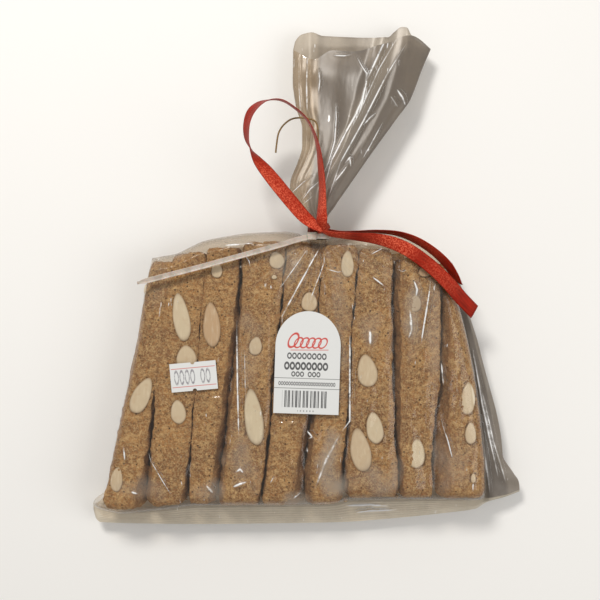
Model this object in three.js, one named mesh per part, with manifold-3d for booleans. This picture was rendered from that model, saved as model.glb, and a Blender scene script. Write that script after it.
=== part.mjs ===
// Pack of almond biscotti sticks in a clear gusseted film bag, lying on its back with its label up.
// Millimetres, +Z up. +Y runs from the sealed fin at the bottom of the bag to its open mouth, and
// +X to the right of someone who reads the label. The floor is z = 0.
import * as THREE from "three";
import { mergeVertices } from "three/addons/utils/BufferGeometryUtils.js";
import Module from "manifold-3d";

const wasm = await Module();
wasm.setup();

// Filled body.
const FILL_TOP = 27.8;
const FILM_EDGE = 1.4;
const SIDE_EDGE_Z = 10;
const DOME_EDGE_Z = 14;
const SIDE_ROUND = 9;
const SIDE_POWER = 2.6;
const DOME_ROUND = 7;
const DOME_POWER = 1.6;
const BASE_ROUND = 6;
const BASE_INSETS = [0, 0.6, 2.5, BASE_ROUND];
const EDGE_BLEND = 12;
const COLUMN_DIP = 2.2;
const SHOULDER_Y = -8;
const ROOT_Y = -109;
const DOME_LEFT_X = -73.3;
const DOME_RIGHT_X = 70.1;
const DOME_FILL_X = 65.5;

// Bottom seal.
const FIN_Z = 8;
const FIN_LEFT_X = -102.6;
const FIN_FILL_X = 86;
const FIN_RIGHT_X = 103.3;

// Where rings run: shares of the fin's width, rises above its root, shares of the dome's height.
const FIN_PARTS = [1, 0.6, 0.2];
const BODY_RISES = [0, 0.3, 1, 2.5, 5, 9, 16, 25, 35, 46, 57, 68, 78, 87, 95, 101];
const DOME_PARTS = [0.25, 0.45, 0.62, 0.76, 0.87, 0.95, 1];
const FIN_FOLLOW = 40;

// Gathered neck and flared mouth.
const NECK_X = 5.7;
const NECK_Z = 23.5;
const NECK_RADIUS = 4.1;
const POCKET_RADIUS = 6.1;
const POCKET_FROM_Y = 15.2;
const POCKET_LENGTH = 20;
const FLARE_END_Y = 114;
const MOUTH_FROM_Y = 84;
const FLARE_FRONT_STEPS = 26;
const FLARE_BACK_STEPS = 18;
const FLARE_POWER = 2;

// Edges of the filled body, of the fill's right side and of the gusset flap, as [y, x].
const BODY_LEFT = [
  [-109, -98.0], [-83.7, -92.4], [-59.9, -87.1], [-44.7, -83.8], [-29.4, -80.4], [-6.1, -77.1],
];
const FILL_RIGHT = [
  [-109, 86.0], [-87.9, 85.4], [-68.6, 83.5], [-47.5, 80.6], [-28.2, 76.6], [-11.1, 71.9],
  [-8, 70.6],
];
const FLAP_RIGHT = [
  [-109, 102.8], [-103.8, 102.0], [-98.6, 99.8], [-93.3, 96.9], [-89.4, 95.0], [-79.4, 94.1],
  [-67.9, 92.1], [-54.9, 88.7], [-40.6, 84.8], [-32.4, 82.8], [-20.9, 79.2], [-8, 75.7],
];

// Root and free edge of the fin, and the shoulder line of the bag, as [x, y].
const FIN_ROOT = [
  [-102.8, -110.5], [-87.0, -114.3], [-80.8, -113.8], [-66.8, -112.4], [-50.9, -110.5],
  [10.0, -109.9], [24.0, -107.4], [59.8, -107.6], [80.0, -107.9], [96.0, -106.0], [103.3, -103.9],
];
const FIN_EDGE = [
  [-102.6, -113.4], [-101.4, -117.8], [-99.2, -119.6], [-75.3, -120.3], [-51.1, -120.5],
  [-2.8, -120.0], [16.6, -119.6], [43.6, -117.6], [69.7, -114.9], [81.8, -113.2], [87.1, -110.1],
  [97.7, -106.9], [103.3, -104.8],
];
const DOME = [
  [-73.3, 7.7], [-68.1, 8.7], [-62.3, 9.7], [-55.2, 13.0], [-49.0, 15.8], [-38.5, 18.0],
  [-26.6, 19.7], [2.0, 20.6], [16.4, 20.3], [30.8, 19.9], [45.2, 18.4], [57.1, 15.1],
  [64.3, 10.7], [70.1, 5.0],
];

// Columns of biscotti that show through the film: x of each gap at GAP_TOP_Y and at GAP_LOW_Y, and
// how high each column stands.
const GAP_TOP_Y = -0.7;
const GAP_LOW_Y = -100.4;
const GAPS = [
  [-60.8, -71.7], [-46.4, -53.8], [-29.7, -38.3], [-10.7, -21.3],
  [6.5, -1.4], [24.6, 18.8], [40.1, 42.2], [62.6, 59.6],
];
const COLUMN_RISE = [-1.2, -0.2, 0.3, 0.6, 0.4, 0.0, 0.5, 0.1, -1.2];
const COLUMN_STEPS = [0, 0.14, 0.32, 0.5, 0.68, 0.86];

// Left and right edge of neck and flare as [y, x], its middle height and half depth as [y, z], and
// the line of its mouth as [x, y].
const FLARE_LEFT = [
  [15, 1.75], [24.6, 1.7], [31.5, -4.0], [40.3, -7.6], [43.1, -7.4], [52.7, -3.9],
  [60.5, -1.8], [68.9, -1.8], [79.4, -4.7], [93.3, -6.3], [114, -6.1],
];
const FLARE_RIGHT = [
  [15, 9.65], [24.6, 9.7], [32.0, 13.9], [40.9, 20.0], [54.1, 29.1], [73.7, 43.1],
  [83.7, 50.1], [114, 60.0],
];
const FLARE_Z = [[20, 23.5], [30, 23.0], [50, 20.5], [80, 16.0], [100, 12.5], [114, 11.0]];
const FLARE_HALF = [[20, 3.8], [24.6, 3.8], [31, 3.4], [50, 3.6], [80, 4.2], [114, 5.6]];
const PLEAT_DEPTH = [[20, 0], [34, 0.5], [60, 1.2], [90, 1.7], [114, 2.0]];
const MOUTH = [
  [-6.1, 108.1], [-5.0, 112.6], [-1.8, 116.0], [3.0, 117.2], [8.1, 115.7], [23.6, 115.3],
  [39.7, 114.9], [42.8, 117.6], [46.4, 120.5], [49.0, 120.0], [51.0, 116.0], [60.0, 108.1],
];
const FLARE_LEVELS = [
  11, 15, 18, 21, 24, 27, 31, 36, 42, 49, 57, 66, 75, 84, 93, 102, 109, FLARE_END_Y,
];
const PLEATS = [[2.3, 0.4, 0.55], [5.1, 1.9, 0.45], [8.7, 4.2, 0.25]];

// Paper.
const PAPER = 0.3;
const LABEL = { x: -0.1, y: -65.05, width: 30.2, side: 31.5, height: 47.6, turn: -1.9, z: 29.0 };
const STICKER = { x: -52.1, y: -47.7, width: 21.5, height: 13.2, notch: 1.0, turn: 5.2, z: 28.4 };

// Cable tie.
const TIE_WIDTH = 2.5;
const TIE_THICK = 1.1;
const TIE_Y = 17.3;
const TIE_GAP = 0.35;
const TIE_HEAD = { x: 2.6, y: 17.3, z: 29.0, width: 4.4, length: 3.4, height: 2.8 };
const TIE_TAIL = [
  [2.6, 17.2, 29.3, 0], [-3.6, 15.7, 29.9, 0], [-12.0, 13.1, 30.6, 0], [-30.4, 8.0, 31.0, 0],
  [-48.9, 2.9, 31.2, 0], [-66.0, -1.5, 31.2, 0], [-71.9, -3.0, 31.1, 0], [-77.9, -4.5, 31.0, 0],
];
const TIE_TIP = [[0, 1], [0.86, 1], [0.93, 0.8], [1, 0.16]];

// Satin ribbon: routes as [x, y, z, roll], where a roll of 0 lies flat and 90 stands on its edge.
const RIBBON_WIDTH = 6.3;
const RIBBON_THICK = 0.4;
const WRAP_FROM_Y = 19.4;
const WRAP_TO_Y = 23.6;
const WRAP_THICK = 1.0;
const KNOT = { x: 7.7, y: 21.2, z: 30.2, rx: 3.3, ry: 2.9, rz: 1.9 };
const LOOP = [
  [4.4, 21.6, 32.8, 20], [-0.5, 25.6, 33.2, 10], [-6.4, 32.2, 34.2, 4], [-12.3, 39.2, 36.5, 4],
  [-17.8, 45.8, 38.5, 22], [-22.2, 51.1, 39.5, 50], [-25.4, 56.5, 40.0, 88],
  [-27.0, 61.9, 40.0, 112], [-26.8, 68.2, 40.0, 116], [-24.9, 73.2, 40.0, 112],
  [-21.3, 76.7, 39.5, 104], [-16.4, 78.6, 39.0, 96], [-10.9, 78.3, 38.5, 92],
  [-5.5, 75.3, 37.5, 90], [0.0, 70.5, 36.0, 88], [3.6, 64.2, 34.5, 84], [5.7, 56.5, 34.0, 76],
  [6.6, 49.3, 34.0, 68], [7.3, 42.0, 34.0, 64], [7.4, 33.8, 34.2, 58], [7.2, 28.0, 35.2, 48],
  [7.0, 23.8, 36.4, 30],
];
const TAIL_FRONT = [
  [11.0, 18.3, 30.6, 64], [16.6, 17.5, 31.0, 64], [22.6, 16.9, 32.0, 60], [30.3, 16.1, 32.4, 48],
  [37.7, 14.6, 32.5, 32], [45.5, 11.5, 32.5, 16], [52.4, 7.1, 32.0, 8], [59.4, 1.5, 31.5, 4],
  [66.0, -4.9, 30.5, 4], [71.8, -11.3, 28.5, 6], [78.5, -17.9, 26.0, 8],
];
const TAIL_REAR = [
  [11.6, 19.9, 26.2, 82], [17.0, 19.3, 26.2, 84], [23.0, 19.4, 26.0, 84], [32.4, 19.6, 25.8, 80],
  [42.7, 18.5, 27.4, 74], [51.2, 15.2, 29.6, 66], [59.2, 9.9, 30.4, 62], [65.3, 4.2, 29.2, 60],
  [69.3, -0.8, 26.8, 62], [72.2, -6.0, 24.0, 68],
];

// Loose thread that curls out from under the loop, as [x, y, z].
const THREAD_RADIUS = 0.4;
const THREAD_SIDES = 8;
const THREAD = [
  [5.6, 61.5, 26.6], [5.6, 66.0, 27.4], [4.4, 70.4, 28.2], [0.9, 71.8, 28.6], [-3.8, 72.1, 28.7],
  [-7.2, 71.3, 28.5], [-10.7, 68.6, 28.0], [-12.7, 65.3, 27.5], [-13.7, 59.9, 27.0],
  [-14.1, 56.2, 26.5],
];

const LOOP_STEPS = 60;
const TAIL_STEPS = 32;
const TIE_STEPS = 24;

// Finishes as [colour, roughness].
const BAG_FINISH = [0x9b784e, 0.25];
const PAPER_FINISH = [0xf2f2f0, 0.6];
const TIE_FINISH = [0xd8cfc4, 0.45];
const RIBBON_FINISH = [0xa83220, 0.35];
const THREAD_FINISH = [0x8a6a3a, 0.7];

const RAD = Math.PI / 180;
const lerp = THREE.MathUtils.lerp;
const smooth = (t) => THREE.MathUtils.smoothstep(t, 0, 1);

// Slope of a table at one of its points, flattened where the table turns so nothing overshoots.
function slopeAt(table, k) {
  const run = (i) => (table[i + 1][1] - table[i][1]) / (table[i + 1][0] - table[i][0]);
  if (k === 0) return run(0);
  if (k === table.length - 1) return run(k - 1);
  const before = run(k - 1);
  const after = run(k);
  return before * after <= 0 ? 0 : (2 * before * after) / (before + after);
}

// Smooth value of a table of [t, value] pairs, held at its ends.
function at(table, t) {
  if (t <= table[0][0]) return table[0][1];
  const k = table.findIndex((entry) => entry[0] > t) - 1;
  if (k < 0) return table[table.length - 1][1];
  const [t0, a] = table[k];
  const [t1, b] = table[k + 1];
  const step = t1 - t0;
  const u = (t - t0) / step;
  const from = slopeAt(table, k) * step;
  const to = slopeAt(table, k + 1) * step;
  const c = 3 * (b - a) - 2 * from - to;
  const d = from + to - 2 * (b - a);
  return a + u * (from + u * (c + u * d));
}

// Rise of a rounded edge: 0 at the edge itself, 1 once `inside` reaches the rounding's width.
function rounded(inside, width, power) {
  const left = 1 - THREE.MathUtils.clamp(inside / width, 0, 1);
  return (1 - left ** power) ** (1 / power);
}

// Closed skin over rings of points, each ring running clockwise when seen from behind the first;
// `near` and `far` are the triangles that close its two ends. Diagonals lean the other way on the
// second half of each ring, so that the two faces of a twisted strip stay parallel.
function skin(rings, near, far) {
  const size = rings[0].length;
  const index = near.flat();
  for (let j = 0; j < rings.length - 1; j++) {
    for (let i = 0; i < size; i++) {
      const a = j * size + i;
      const b = j * size + ((i + 1) % size);
      if (i < size / 2) index.push(a, b, b + size, a, b + size, a + size);
      else index.push(a, b, a + size, b, b + size, a + size);
    }
  }
  index.push(...far.flat().map((k) => k + (rings.length - 1) * size));
  const geometry = new THREE.BufferGeometry();
  geometry.setAttribute("position", new THREE.Float32BufferAttribute(rings.flat(2), 3));
  geometry.setIndex(index);
  return geometry;
}

// Triangles that fill a ring which lies across Y, facing -Y where `facing` is 1 and +Y where -1.
function endOf(ring, facing) {
  const outline = ring.map(([x, , z]) => new THREE.Vector2(x, z));
  return THREE.ShapeUtils.triangulateShape(outline, []).map(([p, q, r]) => {
    const area = THREE.ShapeUtils.area([outline[p], outline[q], outline[r]]) * facing;
    return area > 0 ? [p, q, r] : [p, r, q];
  });
}

// Closed body through a list of rings that lie across Y.
function loft(rings) {
  return skin(rings, endOf(rings[0], 1), endOf(rings[rings.length - 1], -1));
}

// Closed geometry as a solid for joining and cutting, and back again.
function solid(geometry) {
  const bare = new THREE.BufferGeometry();
  bare.setAttribute("position", geometry.getAttribute("position"));
  bare.setIndex(geometry.index);
  const merged = mergeVertices(bare, 1e-4);
  return new wasm.Manifold(
    new wasm.Mesh({
      numProp: 3,
      vertProperties: new Float32Array(merged.attributes.position.array),
      triVerts: new Uint32Array(merged.index.array),
    }),
  );
}

function geometryOf(body) {
  const mesh = body.getMesh();
  const geometry = new THREE.BufferGeometry();
  geometry.setAttribute("position", new THREE.BufferAttribute(mesh.vertProperties, 3));
  geometry.setIndex(new THREE.BufferAttribute(mesh.triVerts, 1));
  return geometry;
}

// Height of the fill under the film at column k, s of the way across it.
function columnTop(k, s) {
  const side = s < 0.5 ? k - 1 : k + 1;
  const other = COLUMN_RISE[THREE.MathUtils.clamp(side, 0, COLUMN_RISE.length - 1)];
  const across = Math.abs(2 * s - 1);
  const rise = lerp(COLUMN_RISE[k], (COLUMN_RISE[k] + other) / 2, across ** 3);
  return FILL_TOP + rise - COLUMN_DIP * across ** 4;
}

// Gap lines between the columns at height y up the bag, with the fill's two sides at the ends.
function gapsAt(y, left, right) {
  const t = (y - GAP_TOP_Y) / (GAP_LOW_Y - GAP_TOP_Y);
  return [left, ...GAPS.map(([top, bottom]) => lerp(top, bottom, t)), right];
}

// One ring round the filled body, `level` up the bag. `line` gives its y at an x; left, fill and
// right are the x of its left side, its fill's right side and its flap; `dome` is 1 at the top.
function bodyRing({ line, level, left, fill, right, dome }) {
  const spread = gapsAt(level, at(BODY_LEFT, level), at(FILL_RIGHT, level));
  const scale = (fill - left) / (spread[spread.length - 1] - spread[0]);
  const gaps = spread.map((x) => left + (x - spread[0]) * scale);
  const point = (x, height, low) => {
    const y = line(x);
    const up = y - at(FIN_ROOT, x);
    const down = at(DOME, x) - y;
    const side = lerp(FIN_Z, SIDE_EDGE_Z, smooth(up / EDGE_BLEND));
    const edge = lerp(side, DOME_EDGE_Z, smooth(dome));
    const sideWidth = low ? BASE_ROUND : SIDE_ROUND;
    const domeWidth = low ? BASE_ROUND : DOME_ROUND;
    const full =
      rounded(x - left, sideWidth, SIDE_POWER) *
      rounded(fill - x, sideWidth, SIDE_POWER) *
      rounded(up, sideWidth, SIDE_POWER) *
      rounded(down, domeWidth, DOME_POWER);
    const lip = edge + (low ? -FILM_EDGE / 2 : FILM_EDGE / 2);
    return [x, y, lerp(lip, height, full)];
  };
  const front = [];
  for (let k = 0; k < gaps.length - 1; k++) {
    for (const s of COLUMN_STEPS) {
      front.push(point(lerp(gaps[k], gaps[k + 1], s), columnTop(k, s), false));
    }
  }
  const flap = [0, 0.5, 1].map((s) => lerp(fill, right, s));
  front.push(...flap.map((x) => point(x, FILL_TOP, false)));
  const baseXs = BASE_INSETS.flatMap((d) => [left + d, fill - d]);
  baseXs.push(...[0.25, 0.5, 0.75].map((s) => lerp(left, fill, s)), flap[1], flap[2]);
  baseXs.sort((a, b) => b - a);
  return [...front, ...baseXs.map((x) => point(x, 0, true))];
}

// Rings of the filled body from the fin's free edge to the shoulder line.
function bodyRings() {
  const rings = [];
  for (const t of FIN_PARTS) {
    rings.push(
      bodyRing({
        line: (x) => lerp(at(FIN_ROOT, x), at(FIN_EDGE, x), t),
        level: ROOT_Y,
        left: FIN_LEFT_X,
        fill: FIN_FILL_X,
        right: FIN_RIGHT_X,
        dome: 0,
      }),
    );
  }
  for (const up of BODY_RISES) {
    const level = ROOT_Y + up;
    const follow = 1 - smooth(up / FIN_FOLLOW);
    const narrow = smooth(up / SIDE_ROUND);
    rings.push(
      bodyRing({
        line: (x) => level + follow * (at(FIN_ROOT, x) - ROOT_Y),
        level,
        left: lerp(FIN_LEFT_X, at(BODY_LEFT, level), narrow),
        fill: at(FILL_RIGHT, level),
        right: at(FLAP_RIGHT, level),
        dome: 0,
      }),
    );
  }
  for (const t of DOME_PARTS) {
    rings.push(
      bodyRing({
        line: (x) => lerp(SHOULDER_Y, at(DOME, x), t),
        level: SHOULDER_Y,
        left: lerp(at(BODY_LEFT, SHOULDER_Y), DOME_LEFT_X, t),
        fill: lerp(at(FILL_RIGHT, SHOULDER_Y), DOME_FILL_X, t),
        right: lerp(at(FLAP_RIGHT, SHOULDER_Y), DOME_RIGHT_X, t),
        dome: t,
      }),
    );
  }
  return rings;
}

// Folds of the gathered film, f of the way across it.
function pleat(f) {
  const wave = ([turns, phase, share]) => share * Math.sin(turns * Math.PI * f * 2 + phase);
  return PLEATS.reduce((sum, fold) => sum + wave(fold), 0);
}

// Fractions from 0 to 1 in n steps, closer together towards both ends.
function eased(n) {
  return Array.from({ length: n + 1 }, (_, i) => (1 - Math.cos((i / n) * Math.PI)) / 2);
}

// One ring round the neck or flare, `level` up the bag.
function flareRing(level) {
  const left = at(FLARE_LEFT, level);
  const right = at(FLARE_RIGHT, level);
  const open = smooth((level - MOUTH_FROM_Y) / (FLARE_END_Y - MOUTH_FROM_Y));
  const half = at(FLARE_HALF, level) - FILM_EDGE / 2;
  const point = (f, side) => {
    const x = lerp(left, right, f);
    const lens = (1 - Math.abs(2 * f - 1) ** FLARE_POWER) ** (1 / FLARE_POWER);
    const fold = at(PLEAT_DEPTH, level) * pleat(f);
    return [
      x,
      level + open * (at(MOUTH, x) - FLARE_END_Y),
      at(FLARE_Z, level) + side * (FILM_EDGE / 2 + half * lens) + fold,
    ];
  };
  const front = eased(FLARE_FRONT_STEPS).map((f) => point(f, 1));
  const back = eased(FLARE_BACK_STEPS).reverse().map((f) => point(f, -1));
  return [...front, ...back];
}

// Bag: filled body and neck in one, with room round the neck for what is tied there.
function bag() {
  const pocket = new THREE.CylinderGeometry(POCKET_RADIUS, POCKET_RADIUS, POCKET_LENGTH, 32);
  pocket.translate(NECK_X, POCKET_FROM_Y + POCKET_LENGTH / 2, NECK_Z);
  const body = solid(loft(bodyRings())).subtract(solid(pocket));
  return geometryOf(body.add(solid(loft(FLARE_LEVELS.map(flareRing)))));
}

// Thin sheet cut from a shape drawn about its own base point.
function paper(shape) {
  const options = { depth: PAPER, bevelEnabled: false, curveSegments: 16 };
  return new THREE.ExtrudeGeometry(shape, options);
}

// Label with straight sides and an arched top, drawn up from the middle of its bottom edge.
function label() {
  const half = LABEL.width / 2;
  const shape = new THREE.Shape();
  shape.moveTo(-half, 0);
  shape.lineTo(half, 0);
  shape.lineTo(half, LABEL.side);
  shape.absellipse(0, LABEL.side, half, LABEL.height - LABEL.side, 0, Math.PI, false, 0);
  shape.lineTo(-half, 0);
  return paper(shape);
}

// Sticker with a small half-round notch in the middle of its top and bottom edges.
function dateSticker() {
  const w = STICKER.width / 2;
  const h = STICKER.height / 2;
  const shape = new THREE.Shape();
  shape.moveTo(-w, -h);
  shape.lineTo(-STICKER.notch, -h);
  shape.absarc(0, -h, STICKER.notch, Math.PI, 0, true);
  shape.lineTo(w, -h);
  shape.lineTo(w, h);
  shape.lineTo(STICKER.notch, h);
  shape.absarc(0, h, STICKER.notch, 0, Math.PI, true);
  shape.lineTo(-w, h);
  shape.lineTo(-w, -h);
  return paper(shape);
}

// Band round the neck between two heights up the bag.
function band(fromY, toY, thick) {
  const inner = NECK_RADIUS + TIE_GAP;
  const shape = new THREE.Shape();
  shape.absarc(0, 0, inner + thick, 0, 2 * Math.PI, false);
  const hole = new THREE.Path();
  hole.absarc(0, 0, inner, 0, 2 * Math.PI, true);
  shape.holes.push(hole);
  const geometry = new THREE.ExtrudeGeometry(shape, {
    depth: toY - fromY,
    bevelEnabled: false,
    curveSegments: 24,
  });
  geometry.rotateX(Math.PI / 2);
  geometry.translate(NECK_X, toY, NECK_Z);
  return geometry;
}

// Flat strip along a route of [x, y, z, roll]; `taper` scales its width along the way.
function strip(route, width, thick, steps, taper) {
  const curve = new THREE.CatmullRomCurve3(route.map(([x, y, z]) => new THREE.Vector3(x, y, z)));
  const rolls = route.map(([, , , roll], i) => [i / (route.length - 1), roll]);
  const rings = [];
  for (let i = 0; i <= steps; i++) {
    const t = i / steps;
    const centre = curve.getPoint(t);
    const along = curve.getTangent(t);
    const flat = new THREE.Vector3(along.y, -along.x, 0).normalize();
    const across = flat.applyAxisAngle(along, at(rolls, t) * RAD);
    const normal = new THREE.Vector3().crossVectors(across, along);
    const w = (width / 2) * (taper ? at(taper, t) : 1);
    const corner = (a, b) =>
      centre.clone().addScaledVector(across, a * w).addScaledVector(normal, (b * thick) / 2).toArray();
    rings.push([corner(-1, 1), corner(1, 1), corner(1, -1), corner(-1, -1)]);
  }
  return skin(rings, [[0, 2, 1], [0, 3, 2]], [[0, 1, 2], [0, 2, 3]]);
}

// Round thread along its route.
function thread() {
  const turns = Array.from({ length: THREAD_SIDES }, (_, i) => (i / THREAD_SIDES) * 2 * Math.PI);
  const section = turns.map(
    (a) => new THREE.Vector2(THREAD_RADIUS * Math.cos(a), THREAD_RADIUS * Math.sin(a)),
  );
  return new THREE.ExtrudeGeometry(new THREE.Shape(section), {
    steps: TAIL_STEPS,
    extrudePath: new THREE.CatmullRomCurve3(THREAD.map((stop) => new THREE.Vector3(...stop))),
  });
}

// Cable tie: band, head with its locking box, and the long pointed tail.
function cableTie() {
  const head = new THREE.BoxGeometry(TIE_HEAD.width, TIE_HEAD.length, TIE_HEAD.height);
  head.translate(TIE_HEAD.x, TIE_HEAD.y, TIE_HEAD.z);
  const ring = band(TIE_Y - TIE_WIDTH / 2, TIE_Y + TIE_WIDTH / 2, TIE_THICK);
  const tail = strip(TIE_TAIL, TIE_WIDTH, TIE_THICK, TIE_STEPS, TIE_TIP);
  return geometryOf(solid(ring).add(solid(head)).add(solid(tail)));
}

// Ribbon round the neck with its knot in front.
function ribbonKnot() {
  const knot = new THREE.SphereGeometry(1, 20, 14);
  knot.scale(KNOT.rx, KNOT.ry, KNOT.rz);
  knot.translate(KNOT.x, KNOT.y, KNOT.z);
  return geometryOf(solid(band(WRAP_FROM_Y, WRAP_TO_Y, WRAP_THICK)).add(solid(knot)));
}

const part = new THREE.Group();
part.name = "biscotti_pack";

// Named mesh with its own finish, optionally laid at a spot of its own.
function place(name, geometry, [color, roughness], spot) {
  const material = new THREE.MeshStandardMaterial({ color, roughness, metalness: 0 });
  const mesh = new THREE.Mesh(geometry, material);
  mesh.name = name;
  if (spot) {
    mesh.position.set(spot.x, spot.y, spot.z);
    mesh.rotation.z = spot.turn * RAD;
  }
  part.add(mesh);
}

place("bag", bag(), BAG_FINISH);
place("label", label(), PAPER_FINISH, LABEL);
place("date_sticker", dateSticker(), PAPER_FINISH, STICKER);
place("cable_tie", cableTie(), TIE_FINISH);
place("ribbon_knot", ribbonKnot(), RIBBON_FINISH);
place("ribbon_loop", strip(LOOP, RIBBON_WIDTH, RIBBON_THICK, LOOP_STEPS), RIBBON_FINISH);
place("ribbon_tail_front", strip(TAIL_FRONT, RIBBON_WIDTH, RIBBON_THICK, TAIL_STEPS), RIBBON_FINISH);
place("ribbon_tail_rear", strip(TAIL_REAR, RIBBON_WIDTH, RIBBON_THICK, TAIL_STEPS), RIBBON_FINISH);
place("ribbon_thread", thread(), THREAD_FINISH);

export default part;
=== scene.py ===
"""Pack of almond biscotti: sticks in a clear gathered bag, with papers, cable tie and satin ribbon.

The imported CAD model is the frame. Each piece here lies on it, with +Y from the bag's fin to its
mouth, +X to the right of someone who reads the label, and +Z up from the floor.
Sizes and tables are in millimetres, apart from the stage's, and each piece is drawn in them.
"""
import math
import random

import bmesh
import bpy
import numpy as np
from bpy.props import FloatProperty, FloatVectorProperty, IntProperty, PointerProperty
from mathutils import Matrix, Vector, noise


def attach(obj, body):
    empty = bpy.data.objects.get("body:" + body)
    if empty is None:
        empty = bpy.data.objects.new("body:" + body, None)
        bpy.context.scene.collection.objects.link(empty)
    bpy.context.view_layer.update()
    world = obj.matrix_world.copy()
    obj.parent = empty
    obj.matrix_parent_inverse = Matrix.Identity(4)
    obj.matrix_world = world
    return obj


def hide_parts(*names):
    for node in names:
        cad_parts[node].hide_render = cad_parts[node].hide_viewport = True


bl_info = {
    "name": "Pack of almond biscotti",
    "version": (1, 0, 0),
    "blender": (4, 5, 0),
    "location": "View3D > Sidebar > Biscotti",
    "description": "Dresses the pack with film, biscotti, almonds, papers, cable tie and ribbon",
    "category": "Object",
}

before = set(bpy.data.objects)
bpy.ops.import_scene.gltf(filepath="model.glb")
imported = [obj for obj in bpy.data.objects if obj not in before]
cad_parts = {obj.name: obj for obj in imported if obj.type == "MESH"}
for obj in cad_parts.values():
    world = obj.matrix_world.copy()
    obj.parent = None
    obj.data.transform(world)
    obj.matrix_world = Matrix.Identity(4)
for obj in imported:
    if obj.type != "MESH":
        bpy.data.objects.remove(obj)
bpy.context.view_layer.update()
MM = 0.001
MERGE = 0.001  # how near points are merged, in millimetres

# --- Form of the bag -------------------------------------------------------------------------

# Height of the columns and of the bag's outer edges, and how wide those edges are rounded, with
# the power of each curve.
FILL_TOP = 27.8
SIDE_EDGE_Z, DOME_EDGE_Z, FIN_Z = 10, 14, 8
SIDE_ROUND, SIDE_POWER = 9, 2.6
DOME_ROUND, DOME_POWER = 7, 1.6
BASE_ROUND, EDGE_BLEND = 6, 12

# Where the dome, the fin, the neck and the flare are.
SHOULDER_Y, ROOT_Y, DOME_LENGTH = -8, -109, 24
DOME_LEFT_X, DOME_RIGHT_X, DOME_FILL_X = -73.3, 70.1, 65.5
FIN_LEFT_X, FIN_FILL_X, FIN_RIGHT_X = -102.6, 86, 103.3
FIN_FOLLOW, FIN_RIBS = 40, 9
NECK_X, NECK_Y, NECK_Z, NECK_RADIUS = 5.7, 20, 23.5, 4.1
NECK_NOTCH, NECK_NOTCH_WIDTH = 5.5, 7.5
FLARE_START_Y, MOUTH_FROM_Y, FLARE_END_Y = 9.5, 84, 114

# Rear film's height under the fill, how far the front film dips into a gap, and the highest that
# its wrinkles reach under the papers and elsewhere.
REAR_FILM_Z, FILM_DIP = 0.15, 0.5
PAPER_CEILING, FILM_CEILING = 28.25, 30.5

# Shares of a body sheet: the fin and the start of the dome up it, the side seam and the start of
# the gusset flap across it.
FIN_SHARE, DOME_SHARE, SEAM_SHARE, FLAP_SHARE = 10 / 140, 111 / 140, 0.009, 0.93

# Faces across and up each film sheet.
FRONT_GRID, REAR_GRID, FLARE_GRID = (376, 264), (120, 90), (260, 230)

# Edges of the filled body, of the fill's right side and of the gusset flap, as (y, x).
BODY_LEFT = [
    (-109, -98.0), (-83.7, -92.4), (-59.9, -87.1), (-44.7, -83.8), (-29.4, -80.4), (-6.1, -77.1),
]
FILL_RIGHT = [
    (-109, 86.0), (-87.9, 85.4), (-68.6, 83.5), (-47.5, 80.6), (-28.2, 76.6), (-11.1, 71.9),
    (-8, 70.6),
]
FLAP_RIGHT = [
    (-109, 102.8), (-103.8, 102.0), (-98.6, 99.8), (-93.3, 96.9), (-89.4, 95.0), (-79.4, 94.1),
    (-67.9, 92.1), (-54.9, 88.7), (-40.6, 84.8), (-32.4, 82.8), (-20.9, 79.2), (-8, 75.7),
]

# The same three edges with their x at the fin's root and at the dome's end.
SIDES = [
    (FIN_LEFT_X, BODY_LEFT, DOME_LEFT_X), (FIN_FILL_X, FILL_RIGHT, DOME_FILL_X),
    (FIN_RIGHT_X, FLAP_RIGHT, DOME_RIGHT_X),
]

# Root and free edge of the fin, and the shoulder line of the bag, as (x, y).
FIN_ROOT = [
    (-102.8, -110.5), (-87.0, -114.3), (-80.8, -113.8), (-66.8, -112.4), (-50.9, -110.5),
    (10.0, -109.9), (24.0, -107.4), (59.8, -107.6), (80.0, -107.9), (96.0, -106.0),
    (103.3, -103.9),
]
FIN_EDGE = [
    (-102.6, -113.4), (-101.4, -117.8), (-99.2, -119.6), (-75.3, -120.3), (-51.1, -120.5),
    (-2.8, -120.0), (16.6, -119.6), (43.6, -117.6), (69.7, -114.9), (81.8, -113.2),
    (87.1, -110.1), (97.7, -106.9), (103.3, -104.8),
]
DOME = [
    (-73.3, 7.7), (-68.1, 8.7), (-62.3, 9.7), (-55.2, 13.0), (-49.0, 15.8), (-38.5, 18.0),
    (-26.6, 19.7), (2.0, 20.6), (16.4, 20.3), (30.8, 19.9), (45.2, 18.4), (57.1, 15.1),
    (64.3, 10.7), (70.1, 5.0),
]

# Gaps between the columns of biscotti, as x near the top and near the bottom, and how high each
# column stands.
GAP_TOP_Y, GAP_LOW_Y = -0.7, -100.4
GAPS = [
    (-60.8, -71.7), (-46.4, -53.8), (-29.7, -38.3), (-10.7, -21.3),
    (6.5, -1.4), (24.6, 18.8), (40.1, 42.2), (62.6, 59.6),
]
COLUMN_RISE = [-1.2, -0.2, 0.3, 0.6, 0.4, 0.0, 0.5, 0.1, -1.2]

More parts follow.
